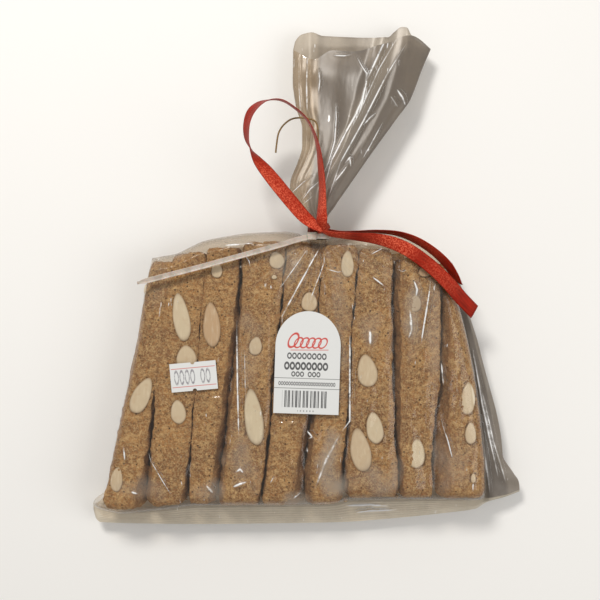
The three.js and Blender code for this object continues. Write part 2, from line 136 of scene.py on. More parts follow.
# Left and right edge of neck and flare as (y, x), its middle height and half depth as (y, z),
# and the mouth's line in the rear and front ply as (x, y).
FLARE_LEFT = [
    (15, 1.75), (24.6, 1.7), (31.5, -4.0), (40.3, -7.6), (43.1, -7.4), (52.7, -3.9),
    (60.5, -1.8), (68.9, -1.8), (79.4, -4.7), (93.3, -6.3), (114, -6.1),
]
FLARE_RIGHT = [
    (15, 9.65), (24.6, 9.7), (32.0, 13.9), (40.9, 20.0), (54.1, 29.1), (73.7, 43.1),
    (83.7, 50.1), (114, 60.0),
]
FLARE_Z = [(20, 23.5), (30, 23.0), (50, 20.5), (80, 16.0), (100, 12.5), (114, 11.0)]
FLARE_HALF = [(20, 3.8), (24.6, 3.8), (31, 3.4), (50, 3.6), (80, 4.2), (114, 5.6)]
REAR_MOUTH = [
    (-6.1, 108.1), (-5.0, 112.6), (-1.8, 116.0), (3.0, 117.2), (8.1, 115.7), (23.6, 115.3),
    (39.7, 114.9), (42.8, 117.6), (46.4, 120.2), (49.0, 119.8), (51.0, 116.0), (60.0, 108.1),
]
FRONT_MOUTH = [
    (-6.1, 107.6), (3.9, 102.5), (12.3, 106.4), (22.1, 105.7), (36.0, 109.0), (50.2, 113.8),
    (60.0, 108.1),
]

# Folds of the flare as (place across it from 0 to 1, height, half width).
FLARE_FOLDS = [
    (0.05, 0.3, 0.03), (0.12, 0.25, 0.025), (0.20, -0.25, 0.05), (0.36, 0.2, 0.10),
    (0.62, 1.3, 0.08), (0.74, -0.6, 0.08), (0.86, 0.4, 0.06), (0.94, -0.3, 0.04),
]

# How far the gathers round the neck reach, and a crease's whitening, partly a painted
# highlight, in half widths of it.
GATHER_REACH, CREASE_REACH = 24, 2.5

# Creases of the body's film and of the flare's front ply, as (height, half width, whitening,
# x, y, x, y, ...). The whitening is partly real crease whitening and partly a painted highlight
# along the crease.
CREASES = [
    (0.9, 0.9, 0.55, 7.0, 13.2, -11.1, -19.7, -11.1, -24.8),
    (0.7, 0.7, 0.45, 8.4, 9.5, 8.4, 4.9, 0.9, -15.1),
    (0.5, 0.6, 0.3, 1.4, 12.3, -11.6, -6.2, -13.4, -12.3),
    (0.9, 1.0, 0.6, 20.3, -28.0, 20.3, -68.4, 16.0, -74.0),
    (0.5, 1.2, 0.25, 16.0, -74.0, 9.5, -86.0, 3.7, -100.9),
    (0.8, 0.9, 0.5, -32.0, -21.0, -32.2, -24.8, -31.8, -50.0, -31.2, -77.2),
    (0.4, 0.5, 0.25, -28.5, -36.0, -28.0, -60.0),
    (0.9, 0.9, 0.6, 50.1, -3.5, 51.5, -7.5, 51.0, -10.5),
    (0.9, 0.9, 0.6, 58.0, -2.1, 56.9, -10.0, 54.6, -24.0, 53.2, -33.1),
    (0.8, 1.2, 0.5, 48.2, -17.0, 48.9, -26.0, 47.5, -30.0),
    (0.6, 0.8, 0.5, 42.7, 1.6, 44.8, 0.9, 46.9, 1.6),
    (0.5, 0.7, 0.4, 29.7, 8.6, 36.7, 12.3),
    (0.6, 0.8, 0.5, 30.6, -1.6, 33.0, -3.4, 36.7, -6.2),
    (0.7, 1.3, 0.4, 29.7, -26.2, 29.7, -33.1),
    (0.5, 0.6, 0.3, 9.3, 2.0, 14.9, 0.6, 17.7, 1.1),
    (0.7, 0.8, 0.4, 62.9, -41.5, 63.8, -51.7),
    (0.6, 0.6, 0.4, 62.2, -64.5, 63.4, -70.0, 66.5, -80.0),
    (0.7, 0.7, 0.5, 64.9, -74.0, 68.2, -86.5),
    (0.6, 0.8, 0.5, -84.8, -80.0, -84.2, -87.0),
    (0.6, 0.5, 0.5, -73.2, -83.2, -72.0, -87.5, -67.0, -95.5, -62.2, -103.2),
    (0.8, 1.2, 0.5, -81.2, -101.6, -78.3, -102.2),
    (0.8, 1.2, 0.4, -46.4, -98.1, -43.1, -101.8),
    (0.8, 1.2, 0.5, -34.0, -99.0, -31.0, -97.6, -27.5, -96.5),
    (0.7, 1.2, 0.4, -33.0, -92.4, -30.5, -90.5, -29.0, -92.5),
    (0.6, 0.8, 0.4, -16.7, -97.2, -14.8, -94.0),
    (0.8, 0.9, 0.5, -5.8, -104.3, -2.5, -101.5),
    (0.6, 0.9, 0.5, 0.5, -73.0, 2.8, -75.8, 1.0, -76.8),
    (0.7, 0.9, 0.5, -38.6, 13.0, -30.0, 13.6, -24.0, 14.2),
    (0.6, 0.7, 0.4, -28.0, 8.0, -26.3, 5.6, -26.0, 3.0),
    (0.8, 0.9, 0.3, 81.5, -60.0, 85.5, -85.0, 88.5, -105.1),
    (0.7, 0.8, 0.25, 84.5, -56.0, 90.0, -80.0, 96.5, -101.0),
    (0.6, 0.8, 0.25, 80.0, -35.0, 84.5, -62.0, 92.5, -98.0),
    (0.9, 1.1, 0.5, 19.0, -111.5, 31.0, -111.0, 40.0, -111.8),
    (0.7, 0.9, 0.45, 24.0, -115.0, 30.0, -114.0, 44.0, -113.5),
]
FLARE_CREASES = [
    (0.8, 0.7, 0.45, 0.8, 108.0, 0.3, 90.0, 0.6, 76.0),
    (0.5, 0.5, 0.25, -3.4, 104.0, -3.2, 88.0, -2.2, 70.0),
    (0.6, 0.6, 0.45, 14.0, 81.0, 14.2, 73.0, 13.4, 62.0, 10.5, 52.0, 8.0, 46.0),
    (0.9, 0.8, 0.5, 23.6, 104.0, 26.5, 98.5, 28.6, 95.0, 28.4, 90.0, 26.5, 82.0, 23.0, 74.0,
     18.0, 65.0, 12.0, 53.0, 8.5, 40.0),
    (0.9, 0.9, 0.4, 39.0, 114.0, 33.0, 101.0, 28.5, 91.0),
    (0.7, 0.7, 0.3, 48.0, 110.0, 38.0, 94.0, 27.0, 72.0, 16.0, 52.0, 10.0, 34.0),
    (0.5, 0.6, 0.25, 43.0, 112.0, 34.5, 97.0, 22.0, 69.0),
    (0.7, 0.7, 0.45, 27.5, 70.6, 30.0, 73.5, 33.0, 76.0),
    (0.7, 0.9, 0.4, 43.0, 87.5, 45.5, 84.0, 47.2, 80.0),
    (0.6, 0.8, 0.3, 40.0, 84.0, 43.5, 79.0),
    (0.6, 0.5, 0.3, 36.5, 72.0, 30.0, 60.0, 26.5, 54.0),
    (0.6, 0.7, 0.4, 18.0, 51.5, 20.5, 54.5, 21.0, 50.0),
    (0.7, 0.6, 0.4, 13.5, 43.0, 17.0, 47.5, 19.5, 51.0),
    (0.6, 0.5, 0.45, -7.0, 37.5, -1.0, 43.0, 3.5, 46.0),
    (0.6, 0.5, 0.4, -2.0, 34.0, 2.0, 39.5, 6.0, 43.0),
    (0.5, 0.4, 0.3, -3.0, 31.0, 3.0, 36.0),
    (0.5, 0.6, 0.3, 6.0, 98.5, 6.6, 92.0, 5.8, 85.0),
    (0.4, 0.6, 0.35, 13.0, 104.0, 18.0, 103.6, 22.0, 104.2),
]

# Middle of the flare's rolled fold, painted lighter as a highlight, and of the valley beside it,
# painted darker as shade, as (x, y).
FOLD_LINE = [
    (47.4, 117.6), (39.2, 102.3), (31.6, 88.0), (22.1, 68.9), (13.9, 52.2), (9.2, 35.5),
]
SHADE_LINE = [(52, 108), (44, 92), (33, 74), (22, 54), (14, 38)]

# Milky patches of the body's film, painted as glare where it reflects the light, as (x, y,
# half width, half height, amount), and how strong they and the film's glints are.
GLARE_VEIL_GAIN, FILM_GLINT = 1.7, 2.2
GLARE_VEILS = [
    (11, -88, 6, 17, 0.22), (-29, -85, 8, 14, 0.14), (31, -95, 11, 9, 0.16),
    (-76, -100, 9, 6, 0.12), (50, -24, 5, 14, 0.18), (-26, -40, 6, 22, 0.08),
    (30, -29, 5, 9, 0.14), (68, -88, 9, 16, 0.10), (-72, -6, 8, 14, 0.06),
    (-3, -106, 7, 5, 0.25), (-45, -101, 6, 6, 0.16), (15, -30, 5, 24, 0.10),
    (-8, 6, 9, 8, 0.10), (60, -30, 4, 30, 0.08),
]

# --- Biscotti --------------------------------------------------------------------------------

# Front sticks as (left and right edge at each level up the bag, y of the bottom and of the top
# end, roll about the length in degrees).
STICK_LEVELS = (-105.2, -86.6, -68.0, -49.4, -30.9, -12.3, 6.3)
STICKS = [
    (((-94.3, -80.4), (-90.8, -75.3), (-86.4, -73.0), (-82.9, -69.4), (-79.4, -65.9),
      (-76.0, -63.2), (-72.0, -60.2)), -110.0, 5.9, 0),
    (((-71.5, -57.6), (-72.2, -54.2), (-70.8, -52.4), (-69.9, -50.6), (-68.3, -49.2),
      (-65.8, -47.8), (-63.0, -45.8)), -108.5, 10.0, -3),
    (((-54.1, -44.6), (-53.7, -41.8), (-52.6, -39.5), (-51.2, -37.2), (-49.9, -34.6),
      (-48.6, -31.8), (-46.8, -31.1)), -107.5, 12.4, -3),
    (((-39.0, -22.3), (-37.2, -19.1), (-35.3, -17.3), (-33.0, -16.0), (-31.1, -13.8),
      (-30.0, -11.7), (-28.8, -9.8)), -108.9, 15.0, 0),
    (((-20.4, -7.4), (-17.8, -3.9), (-16.1, -0.5), (-14.5, 1.9), (-12.9, 3.7), (-11.1, 5.8),
      (-9.7, 6.9)), -109.0, 15.4, 1),
    (((3.7, 15.1), (2.6, 17.4), (4.2, 19.8), (4.9, 21.0), (5.6, 21.4), (6.3, 23.2),
      (7.0, 24.9)), -108.2, 13.6, -4),
    (((19.5, 42.6), (19.9, 42.1), (20.2, 40.6), (20.9, 40.1), (21.3, 39.7), (22.9, 39.7),
      (24.6, 40.0)), -104.8, 11.7, 0),
    (((43.9, 59.5), (42.7, 58.8), (41.7, 60.4), (41.5, 62.9), (41.6, 63.1), (40.8, 63.3),
      (41.2, 61.5)), -104.8, 7.1, 14),
    (((60.6, 84.6), (60.6, 84.1), (61.3, 82.2), (63.7, 79.5), (64.1, 76.2), (65.1, 73.0),
      (63.7, 70.5)), -105.0, -3.2, 28),
]
STICK_DEPTH, STICK_EDGE = 12.6, 1.1
REAR_BASE, FRONT_BASE = 0.7, 14.7
REAR_SHIFT = 7.5

# Face size and roughness of a stick in the front and in the rear layer, which is hardly seen, and
# how far each stays inside the bag's left side, the fill's right side and the front film.
FRONT_STEP, FRONT_ROUGH, FRONT_GAPS = 0.5, 1.0, (1.2, 1.4, 0.35)
REAR_STEP, REAR_ROUGH, REAR_GAPS = 1.3, 0.8, (2.0, 2.0, 0.4)
REAR_FILM_GAP = 0.3

# How much of the gaps beside it a stick's underside fills, over which share of its depth it
# widens, and how much wider than its table the rounded stick is drawn.
FOOT_SHARE, FOOT_DEPTH, STICK_FLARE = 0.5, 0.6, 0.7

CRUMB_SEED = 11

# Almonds in the sticks' faces as (x, y, width, height, lean in degrees, colour, from pale 0 to
# pink 1).
ALMONDS = [
    (-76.7, -56.9, 8.4, 17.7, -25, 0.2), (-88.3, -95.9, 5.6, 11.6, -6, 0.4),
    (-58.1, -20.2, 7.9, 22.3, 9, 0.1), (-55.7, -39.2, 9.3, 11.6, 0, 0.3),
    (-59.5, -64.3, 7.0, 11.2, 6, 0.2), (-43.9, -23.7, 7.9, 20.4, 3, 0.9),
    (-41.5, 1.7, 5.1, 7.4, 0, 0.3), (-13.7, 6.3, 7.0, 7.9, 15, 0.2),
    (-14.8, -1.6, 2.4, 2.0, 0, 0.1), (-23.4, -33.6, 6.0, 8.4, -8, 0.3),
    (-24.4, -66.6, 8.6, 26.9, 7, 0.0), (1.5, -13.2, 7.3, 9.2, 0, 0.4),
    (19.3, 4.5, 6.0, 12.1, 0, 0.1), (28.4, -45.3, 9.1, 15.3, 8, 0.3),
    (31.9, -71.7, 7.7, 14.9, 9, 0.1), (25.3, -82.0, 9.3, 20.2, 10, 0.4),
    (50.2, -13.7, 6.8, 8.4, -5, 0.5), (55.6, 1.2, 6.6, 5.2, 10, 1.0),
    (51.4, -83.8, 7.7, 13.7, -4, 0.1), (75.6, -58.3, 6.6, 15.1, -3, 0.2),
    (76.8, -74.5, 5.2, 10.2, 0, 0.3), (78.0, -95.4, 2.3, 4.6, 0, 0.4),
    (-75.2, -7.5, 2.0, 5.1, 0, 0.2),
]

# How far an almond's middle lies under the film, and its half depth.
ALMOND_SINK, ALMOND_HALF = 1.15, 0.55

# --- Cable tie, ribbon and thread ------------------------------------------------------------

TIE_WIDTH, TIE_THICK, TIE_Y, TIE_GAP = 2.5, 1.1, 17.3, 0.35
TIE_HEAD = (2.6, 17.3, 29.0)
TIE_HEAD_SIZE = (4.4, 3.4, 2.8)
SLOT_RIM, SLOT_DEPTH, TIE_BEVEL = 0.75, 0.7, 0.18
TIE_TAIL = [
    (2.6, 17.2, 29.3, 0), (-3.6, 15.7, 29.9, 0), (-12.0, 13.1, 30.6, 0), (-30.4, 8.0, 31.0, 0),
    (-48.9, 2.9, 31.2, 0), (-66.0, -1.5, 31.2, 0), (-71.9, -3.0, 31.1, 0), (-77.9, -4.5, 31.0, 0),
]
TIE_TIP = [(0, 1), (0.86, 1), (0.93, 0.8), (1, 0.16)]
TIE_ACROSS, TIE_STEPS = 8, 230

# Ribbon routes as (x, y, z, roll, shine), where a roll of 0 lies flat and 90 stands on its edge.
# Each route starts, and the loop also ends, inside the knot.
RIBBON_WIDTH, RIBBON_THICK, RIBBON_ACROSS, WARP_PITCH = 6.3, 0.25, 12, 0.42
WRAP_FROM_Y, WRAP_TO_Y, WRAP_THICK = 19.4, 23.6, 0.55
KNOT_CENTRE, KNOT_RADII = (7.7, 21.2, 30.2), (3.3, 2.9, 1.9)
LOOP = [
    (7.6, 19.9, 30.9, 34, 0.9), (4.4, 21.9, 32.6, 22, 0.9), (-0.5, 25.6, 33.2, 10, 0.7),
    (-6.4, 32.2, 34.2, 4, 0.7), (-12.3, 39.2, 36.5, 4, 0.9), (-17.8, 45.8, 38.5, 22, 0.7),
    (-22.2, 51.1, 39.5, 50, 0.3), (-25.4, 56.5, 40.0, 88, 0), (-27.0, 61.9, 40.0, 112, 0),
    (-26.8, 68.2, 40.0, 122, 0.1), (-24.9, 73.2, 40.0, 128, 0), (-21.3, 76.7, 39.5, 118, 0),
    (-16.4, 78.6, 39.0, 100, 0), (-10.9, 78.3, 38.5, 92, 0.2), (-5.5, 75.3, 37.5, 90, 0.1),
    (0.0, 70.5, 36.0, 88, 0.1), (3.6, 64.2, 34.5, 84, 0.1), (5.7, 56.5, 34.0, 76, 0.2),
    (6.6, 49.3, 34.0, 68, 0.3), (7.3, 42.0, 34.0, 64, 0.5), (7.4, 33.8, 34.2, 58, 0.9),
    (7.2, 28.0, 34.6, 48, 0.8), (7.3, 23.8, 34.4, 34, 0.5), (7.8, 20.4, 31.3, 30, 0.8),
]
TAIL_FRONT = [
    (7.4, 19.6, 30.6, 60, 0.5), (11.0, 18.3, 30.6, 64, 0.9), (16.6, 17.5, 31.0, 64, 0.8),
    (22.6, 16.9, 32.0, 60, 0.1), (30.3, 16.1, 32.4, 48, 0.4), (37.7, 14.6, 32.5, 32, 1),
    (45.5, 11.5, 32.5, 16, 1), (52.4, 7.1, 32.0, 8, 0.1), (59.4, 1.5, 31.5, 4, 0.4),
    (66.0, -4.9, 30.5, 4, 0.35), (71.8, -11.3, 28.5, 6, 0), (78.5, -17.9, 26.0, 8, 0),
]
TAIL_REAR = [
    (7.6, 20.8, 28.4, 70, 0.2), (11.6, 19.9, 26.6, 80, 0.8), (17.0, 19.3, 26.2, 84, 0.6),
    (23.0, 19.4, 26.0, 84, 0), (32.4, 19.6, 25.8, 80, 0), (42.7, 18.5, 27.4, 74, 0),
    (51.2, 15.2, 29.6, 66, 0.4), (59.2, 9.9, 30.4, 62, 0.3), (65.3, 4.2, 29.2, 60, 0),
    (68.8, -0.6, 27.0, 64, 0), (70.8, -4.0, 25.2, 72, 0),
]
THREAD_RADIUS, THREAD_STEPS = 0.4, 40
THREAD = [
    (5.6, 61.5, 26.6), (5.6, 66.0, 27.4), (4.4, 70.4, 28.2), (0.9, 71.8, 28.6), (-3.8, 72.1, 28.7),
    (-7.2, 71.3, 28.5), (-10.7, 68.6, 28.0), (-12.7, 65.3, 27.5), (-13.7, 59.9, 27.0),
    (-14.1, 56.2, 26.5),
]

# --- Papers ----------------------------------------------------------------------------------

LABEL_SPOT, LABEL_TURN = (-0.1, -65.05), -1.9
STICKER_SPOT, STICKER_TURN = (-52.1, -47.7), 5.2

# Spots and half sizes of the papers, which hold the film's wrinkles down.
PAPER_SPOTS = [(0.5, -42, 15, 24), (-52.1, -47.7, 11, 7)]

# Loops of the label's red coil as (x, y, half width, half height).
LABEL_COIL = [(-7.0, 33.9, 2.1, 3.2)] + [(x, 32.9, 1.8, 2.3) for x in (-4.2, -1.4, 1.4, 4.2, 7.0)]

# Rows of noughts as (left, bottom, top, pitch, how many, thickness).
LABEL_ROWS = [
    (-9.6, 25.6, 27.9, 2.3, 8, 0.3), (-10.8, 20.7, 23.5, 2.55, 8, 0.36),
    (-7.4, 17.4, 19.3, 2.0, 3, 0.3), (0.2, 17.4, 19.3, 2.0, 3, 0.3),
    (-13.2, 13.2, 14.6, 1.15, 23, 0.3),
]
STICKER_ROWS = [(-9.2, -2.9, 2.9, 2.5, 4, 0.2), (3.0, -2.9, 2.9, 2.5, 2, 0.2)]

# --- Stage, in metres ------------------------------------------------------------------------

CAMERA_SPOT, LIGHT_TARGET, FLOOR_GAP = (-0.0028, -0.0123), (0, -0.02, 0.02), 0.0005


# --- Numbers and colours ---------------------------------------------------------------------

def rgb(code):
    """Linear colour of an sRGB hex code."""
    parts = [int(code[i:i + 2], 16) / 255 for i in (0, 2, 4)]
    return tuple(c / 12.92 if c < 0.04045 else ((c + 0.055) / 1.055) ** 2.4 for c in parts)


def lerp(a, b, t):
    return a + (b - a) * t


def smooth(t):
    t = np.clip(t, 0, 1)
    return t * t * (3 - 2 * t)


def at(table, t):
    """Smooth value of a table of (t, value) pairs, held at its ends and never overshooting."""
    xs, ys = np.array(table, float).T
    run = np.diff(ys) / np.diff(xs)
    before, after = run[:-1], run[1:]
    same = before * after > 0
    inner = np.where(same, 2 * before * after / np.where(same, before + after, 1), 0)
    slope = np.concatenate([run[:1], inner, run[-1:]])
    t = np.clip(t, xs[0], xs[-1])
    k = np.clip(np.searchsorted(xs, t, side="right") - 1, 0, len(xs) - 2)
    step = xs[k + 1] - xs[k]
    u = (t - xs[k]) / step
    a, b, p, q = ys[k], ys[k + 1], slope[k] * step, slope[k + 1] * step
    return a + u * (p + u * ((3 * (b - a) - 2 * p - q) + u * (p + q - 2 * (b - a))))


def rounded(inside, width, power):
    """Rise of a rounded edge: 0 at the edge itself, 1 once `inside` reaches the width."""
    return (1 - (1 - np.clip(inside / width, 0, 1)) ** power) ** (1 / power)


def grain(points, size, seed):
    """Smooth noise from -1 to 1 at an array of points, with features of about `size`."""
    place = Vector((seed, seed * 1.7, seed * 2.3))
    return np.array([noise.noise(Vector(p) / size + place) for p in points])


def flat_grain(x, y, seed, layer=0):
    """Smooth noise from -1 to 1 over a plane, with features of about 1."""
    return grain(np.c_[x, y, layer * np.ones(len(x))], 1.0, seed)


def distance_to(x, y, line):
    """Distance from points to a line of (x, y) stops, its side (1 or -1) and share along it."""
    best, turn, share = np.full(np.shape(x), 1e9), np.ones(np.shape(x)), np.zeros(np.shape(x))
    lengths = [math.dist(a, b) for a, b in zip(line[:-1], line[1:])]
    for k, ((ax, ay), (bx, by)) in enumerate(zip(line[:-1], line[1:])):
        dx, dy = bx - ax, by - ay
        t = np.clip(((x - ax) * dx + (y - ay) * dy) / (dx * dx + dy * dy), 0, 1)
        away = np.hypot(x - ax - t * dx, y - ay - t * dy)
        turn = np.where(away < best, np.sign((x - ax) * dy - (y - ay) * dx), turn)
        here = (sum(lengths[:k]) + t * lengths[k]) / sum(lengths)
        share = np.where(away < best, here, share)
        best = np.minimum(best, away)
    return best, turn, share


# --- Form functions --------------------------------------------------------------------------

def dome_share(y):
    return np.clip((y - SHOULDER_Y) / DOME_LENGTH, 0, 1)


def side_lines(y, dome):
    """x of the bag's left side, of the fill's right side and of the flap, `dome` up the dome."""
    up = smooth((y - ROOT_Y) / SIDE_ROUND)
    return [lerp(lerp(root, at(edge, y), up), end, dome) for root, edge, end in SIDES]


def dome_line(x):
    """Upper end of the filled body, lower where the neck leaves it."""
    return at(DOME, x) - NECK_NOTCH * np.exp(-(((x - NECK_X) / NECK_NOTCH_WIDTH) ** 2))


def bag_skin(x, y, dome, low):
    """Height of the bag's edge, how full it is and its film's height at a spot.

    The film is the rear one where `low` is true.
    """
    left, fill, _ = side_lines(y, dome_share(y))
    up, down = y - at(FIN_ROOT, x), dome_line(x) - y
    edge = lerp(lerp(FIN_Z, SIDE_EDGE_Z, smooth(up / EDGE_BLEND)), DOME_EDGE_Z, smooth(dome))
    side_width, dome_width = (BASE_ROUND, BASE_ROUND) if low else (SIDE_ROUND, DOME_ROUND)
    full = (
        rounded(x - left, side_width, SIDE_POWER) * rounded(fill - x, side_width, SIDE_POWER)
        * rounded(up, side_width, SIDE_POWER) * rounded(down, dome_width, DOME_POWER)
    )
    return edge, full, lerp(edge, REAR_FILM_Z if low else column_top(x, y), full)


def down_gap(y):
    """Share of the way down the gaps between the columns."""
    return (y - GAP_TOP_Y) / (GAP_LOW_Y - GAP_TOP_Y)


def column_top(x, y):
    """Height of the film where it lies on the columns of biscotti."""
    left, fill, _ = side_lines(np.clip(y, ROOT_Y, SHOULDER_Y), 0)
    gaps = [left] + [lerp(*gap, down_gap(y)) for gap in GAPS] + [fill]
    top = np.full(np.shape(x), FILL_TOP + COLUMN_RISE[0])
    for k, rise in enumerate(COLUMN_RISE):
        s = (x - gaps[k]) / np.maximum(gaps[k + 1] - gaps[k], 1)
        across = np.abs(2 * s - 1)
        beside = COLUMN_RISE[max(k - 1, 0)], COLUMN_RISE[min(k + 1, len(GAPS))]
        side = np.where(s < 0.5, *beside)
        here = FILL_TOP + lerp(rise, (rise + side) / 2, across ** 3) - FILM_DIP * across ** 4
        top = np.where((s >= 0) & (s <= 1), here, top)
    return top


def cover(x, y, low=False):
    """Height above the floor of the bag's front film, or of its rear film if `low`."""
    return bag_skin(x, y, dome_share(y), low)[2]


def route(stops, steps):
    """Points, directions and rolls along a smooth line through a route's stops."""
    pts = [Vector(s[:3]) for s in stops]
    pts = [2 * pts[0] - pts[1]] + pts + [2 * pts[-1] - pts[-2]]
    rolls = [(i / (len(stops) - 1), (*s, 0)[3]) for i, s in enumerate(stops)]

    def point(t):
        k = min(int(t * (len(stops) - 1)), len(stops) - 2)
        w = t * (len(stops) - 1) - k
        a, b, c, d = pts[k:k + 4]
        ab, bc, cd = [math.sqrt((q - p).length) for p, q in ((a, b), (b, c), (c, d))]
        m = ((b - a) / ab - (c - a) / (ab + bc) + (c - b) / bc) * bc
        n = ((c - b) / bc - (d - b) / (bc + cd) + (d - c) / cd) * bc
        return b + m * w + (3 * (c - b) - 2 * m - n) * w * w + (2 * (b - c) + m + n) * w ** 3

    line = []
    for i in range(steps + 1):
        t = i / steps
        along = (point(min(t + 1e-4, 1)) - point(max(t - 1e-4, 0))).normalized()
        line.append((point(t), along, math.radians(float(at(rolls, t)))))
    return line


# --- Materials -------------------------------------------------------------------------------

class Wire:
    """One output of a node in a material; sums on it add Math nodes."""

    def __init__(self, tree, socket=None):
        self.tree, self.socket = tree, socket

    def node(self, kind, settings=None, sockets=None, out=0):
        """Output of a new node with its settings and its sockets' values or links."""
        made = self.tree.nodes.new("ShaderNode" + kind)
        for name, value in (settings or {}).items():
            setattr(made, name, value)
        for name, value in (sockets or {}).items():
            socket = made.inputs[name]
            if isinstance(value, Wire):
                self.tree.links.new(value.socket, socket)
            elif socket.type == "RGBA":
                socket.default_value = (*value, 1)
            else:
                socket.default_value = value
        return Wire(self.tree, made.outputs[out])

    def math(self, operation, *others, clamp=False):
        """Math node whose first value is this one."""
        settings = {"operation": operation, "use_clamp": clamp}
        return self.node("Math", settings, dict(enumerate((self, *others))))

    def __add__(self, other):
        return self.math("ADD", other)

    def __sub__(self, other):
        return self.math("SUBTRACT", other)

    def __rsub__(self, other):
        return self * -1 + other

    def __mul__(self, other):
        return self.math("MULTIPLY", other)

    def __truediv__(self, other):
        return self.math("DIVIDE", other)

    def __pow__(self, other):
        return self.math("POWER", other)

    def __abs__(self):
        return self.math("ABSOLUTE")

    __radd__, __rmul__ = __add__, __mul__

    def ramp(self, low, high):
        """0 at `low`, 1 at `high`, smooth between them."""
        return self.node("MapRange", {"interpolation_type": "SMOOTHSTEP"},
                         {"Value": self, "From Min": low, "From Max": high})

    def blend(self, under, over):
        """Mix of two colours by this value."""
        settings = {"data_type": "RGBA", "clamp_factor": True}
        return self.node("Mix", settings, {0: self, 6: under, 7: over}, out=2)

    def noise(self, place, size, detail=2.0, roughness=0.5):
        """Noise with features of `size` millimetres."""
        return self.node("TexNoise", {}, {"Vector": place, "Scale": 1 / (size * MM),
                                          "Detail": detail, "Roughness": roughness})

    def cells(self, place, size):
        """Distance to the nearest of scattered points, about `size` millimetres apart."""
        return self.node("TexVoronoi", {}, {"Vector": place, "Scale": 1 / (size * MM)}, "Distance")

    def drawn_out(self, place, share):
        """A place whose y counts for only a share, so that a pattern on it is long in y."""
        return self.node("Mapping", {}, {"Vector": place, "Scale": (1, share, 1)})

    def bump(self, height, strength, depth):
        """Normal of a relief `depth` millimetres deep."""
        return self.node("Bump", {}, {"Height": height, "Strength": strength,
                                      "Distance": depth * MM})

    def axes(self, place):
        """x, y and z of a vector, in millimetres."""
        scaled = self.node("VectorMath", {"operation": "SCALE"}, {0: place, "Scale": 1 / MM})
        made = self.node("SeparateXYZ", {}, {0: scaled}).socket.node
        return [Wire(self.tree, made.outputs[i]) for i in range(3)]

    def attribute(self, name):
        return self.node("Attribute", {"attribute_name": name}, out="Fac")

    def surface(self, base, roughness, normal, others=None):
        sockets = {"Base Color": base, "Roughness": roughness, "Normal": normal}
        return self.node("BsdfPrincipled", {}, sockets | (others or {}))


def start_material(name):
    """New empty material, a wire into its nodes, and its place in Object coordinates."""
    material = bpy.data.materials.new(name)
    material.use_nodes = True
    material.node_tree.nodes.clear()
    wire = Wire(material.node_tree)
    return material, wire, wire.node("TexCoord", out="Object")


def end_material(material, surface):
    """The material, now showing a surface."""
    tree = material.node_tree
    out = tree.nodes.new("ShaderNodeOutputMaterial")
    tree.links.new(surface.socket, out.inputs["Surface"])
    return material


def crumb_material(look):
    """Baked crumb: golden grains, their crests a painted highlight, over brown pits in painted
    shade; smoother and browner on the baked sides, and painted shade towards each face's edges.
    """
    material, w, place = start_material("baked crumb")
    broad = w.noise(place, 22, 2)
    patch = w.noise(place, 5, 2)
    grains = w.noise(place, 1.9, 3, 0.6)
    fine = w.noise(place, 0.6, 2, 0.6)
    # Painted highlight, partly pale grains: the crests of the grains and wormy strands are lighter.
    highlight_strands = abs(w.noise(place, 1.7, 2, 0.55) - 0.5).ramp(0.075, 0.02)
    # Painted shade: the crumb darkens in its pores and pits, where its relief sinks.
    shaded_pores = w.cells(place, 2.4).ramp(0.22, 0.08) * patch.ramp(0.44, 0.54)
    crust_and_edge_shade = w.attribute("crust_and_edge_shade")
    bare = 1 - crust_and_edge_shade * 0.75
    pits = (grains + (fine - 0.5) * 0.6).ramp(0.48, 0.36) * bare
    crest_highlights = (grains + (fine - 0.5) * 0.5).ramp(0.56, 0.68) * bare
    base = broad.ramp(0.38, 0.62).blend(look.crumb_low, look.crumb)
    base = (patch.ramp(0.48, 0.68) * 0.55).blend(base, look.crumb_high)
    base = (patch.ramp(0.46, 0.32) * 0.6).blend(base, look.crust_and_edge_shade)
    base = (crust_and_edge_shade * 0.85).blend(base, look.crust_and_edge_shade)
    # Painted shade in the pits.
    base = (pits * 0.5).blend(base, look.pore_shade)
    # Pale flecks on the crests and strands, partly a painted highlight.
    base = (crest_highlights * 0.6).blend(base, look.fleck_and_highlight)
    base = (highlight_strands * bare * 0.4).blend(base, look.fleck_and_highlight)
    base = (shaded_pores * 0.85).blend(base, look.pore_shade)
    height = grains * 1.1 + highlight_strands * 0.3 + fine * 0.3 - shaded_pores * 0.9
    return end_material(material, w.surface(
        base, lerp(0.7, 0.95, grains), w.bump(height, 1.0, 0.75), {"Specular IOR Level": 0.25}))


def almond_material(look):
    """Cut face of an almond: pale and streaked, toasted in patches, with its skin as a rim."""
    material, w, place = start_material("almond")
    veins = w.noise(w.drawn_out(place, 0.22), 1.1, 3)
    blotch = w.noise(place, 3.5, 2)
    pink, rim = w.attribute("pink"), w.attribute("rim")
    base = pink.blend(look.almond, look.almond_pink)
    base = (veins.ramp(0.45, 0.75) * 0.35).blend(base, look.almond_high)
    base = (blotch.ramp(0.52, 0.72) * 0.25).blend(base, look.almond_pink)
    base = rim.blend(base, look.almond_skin)
    normal = w.bump(veins + blotch * 0.6, 0.3, 0.1)
    return end_material(material, w.surface(
        base, lerp(0.45, 0.65, veins), normal, {"Specular IOR Level": 0.35}))


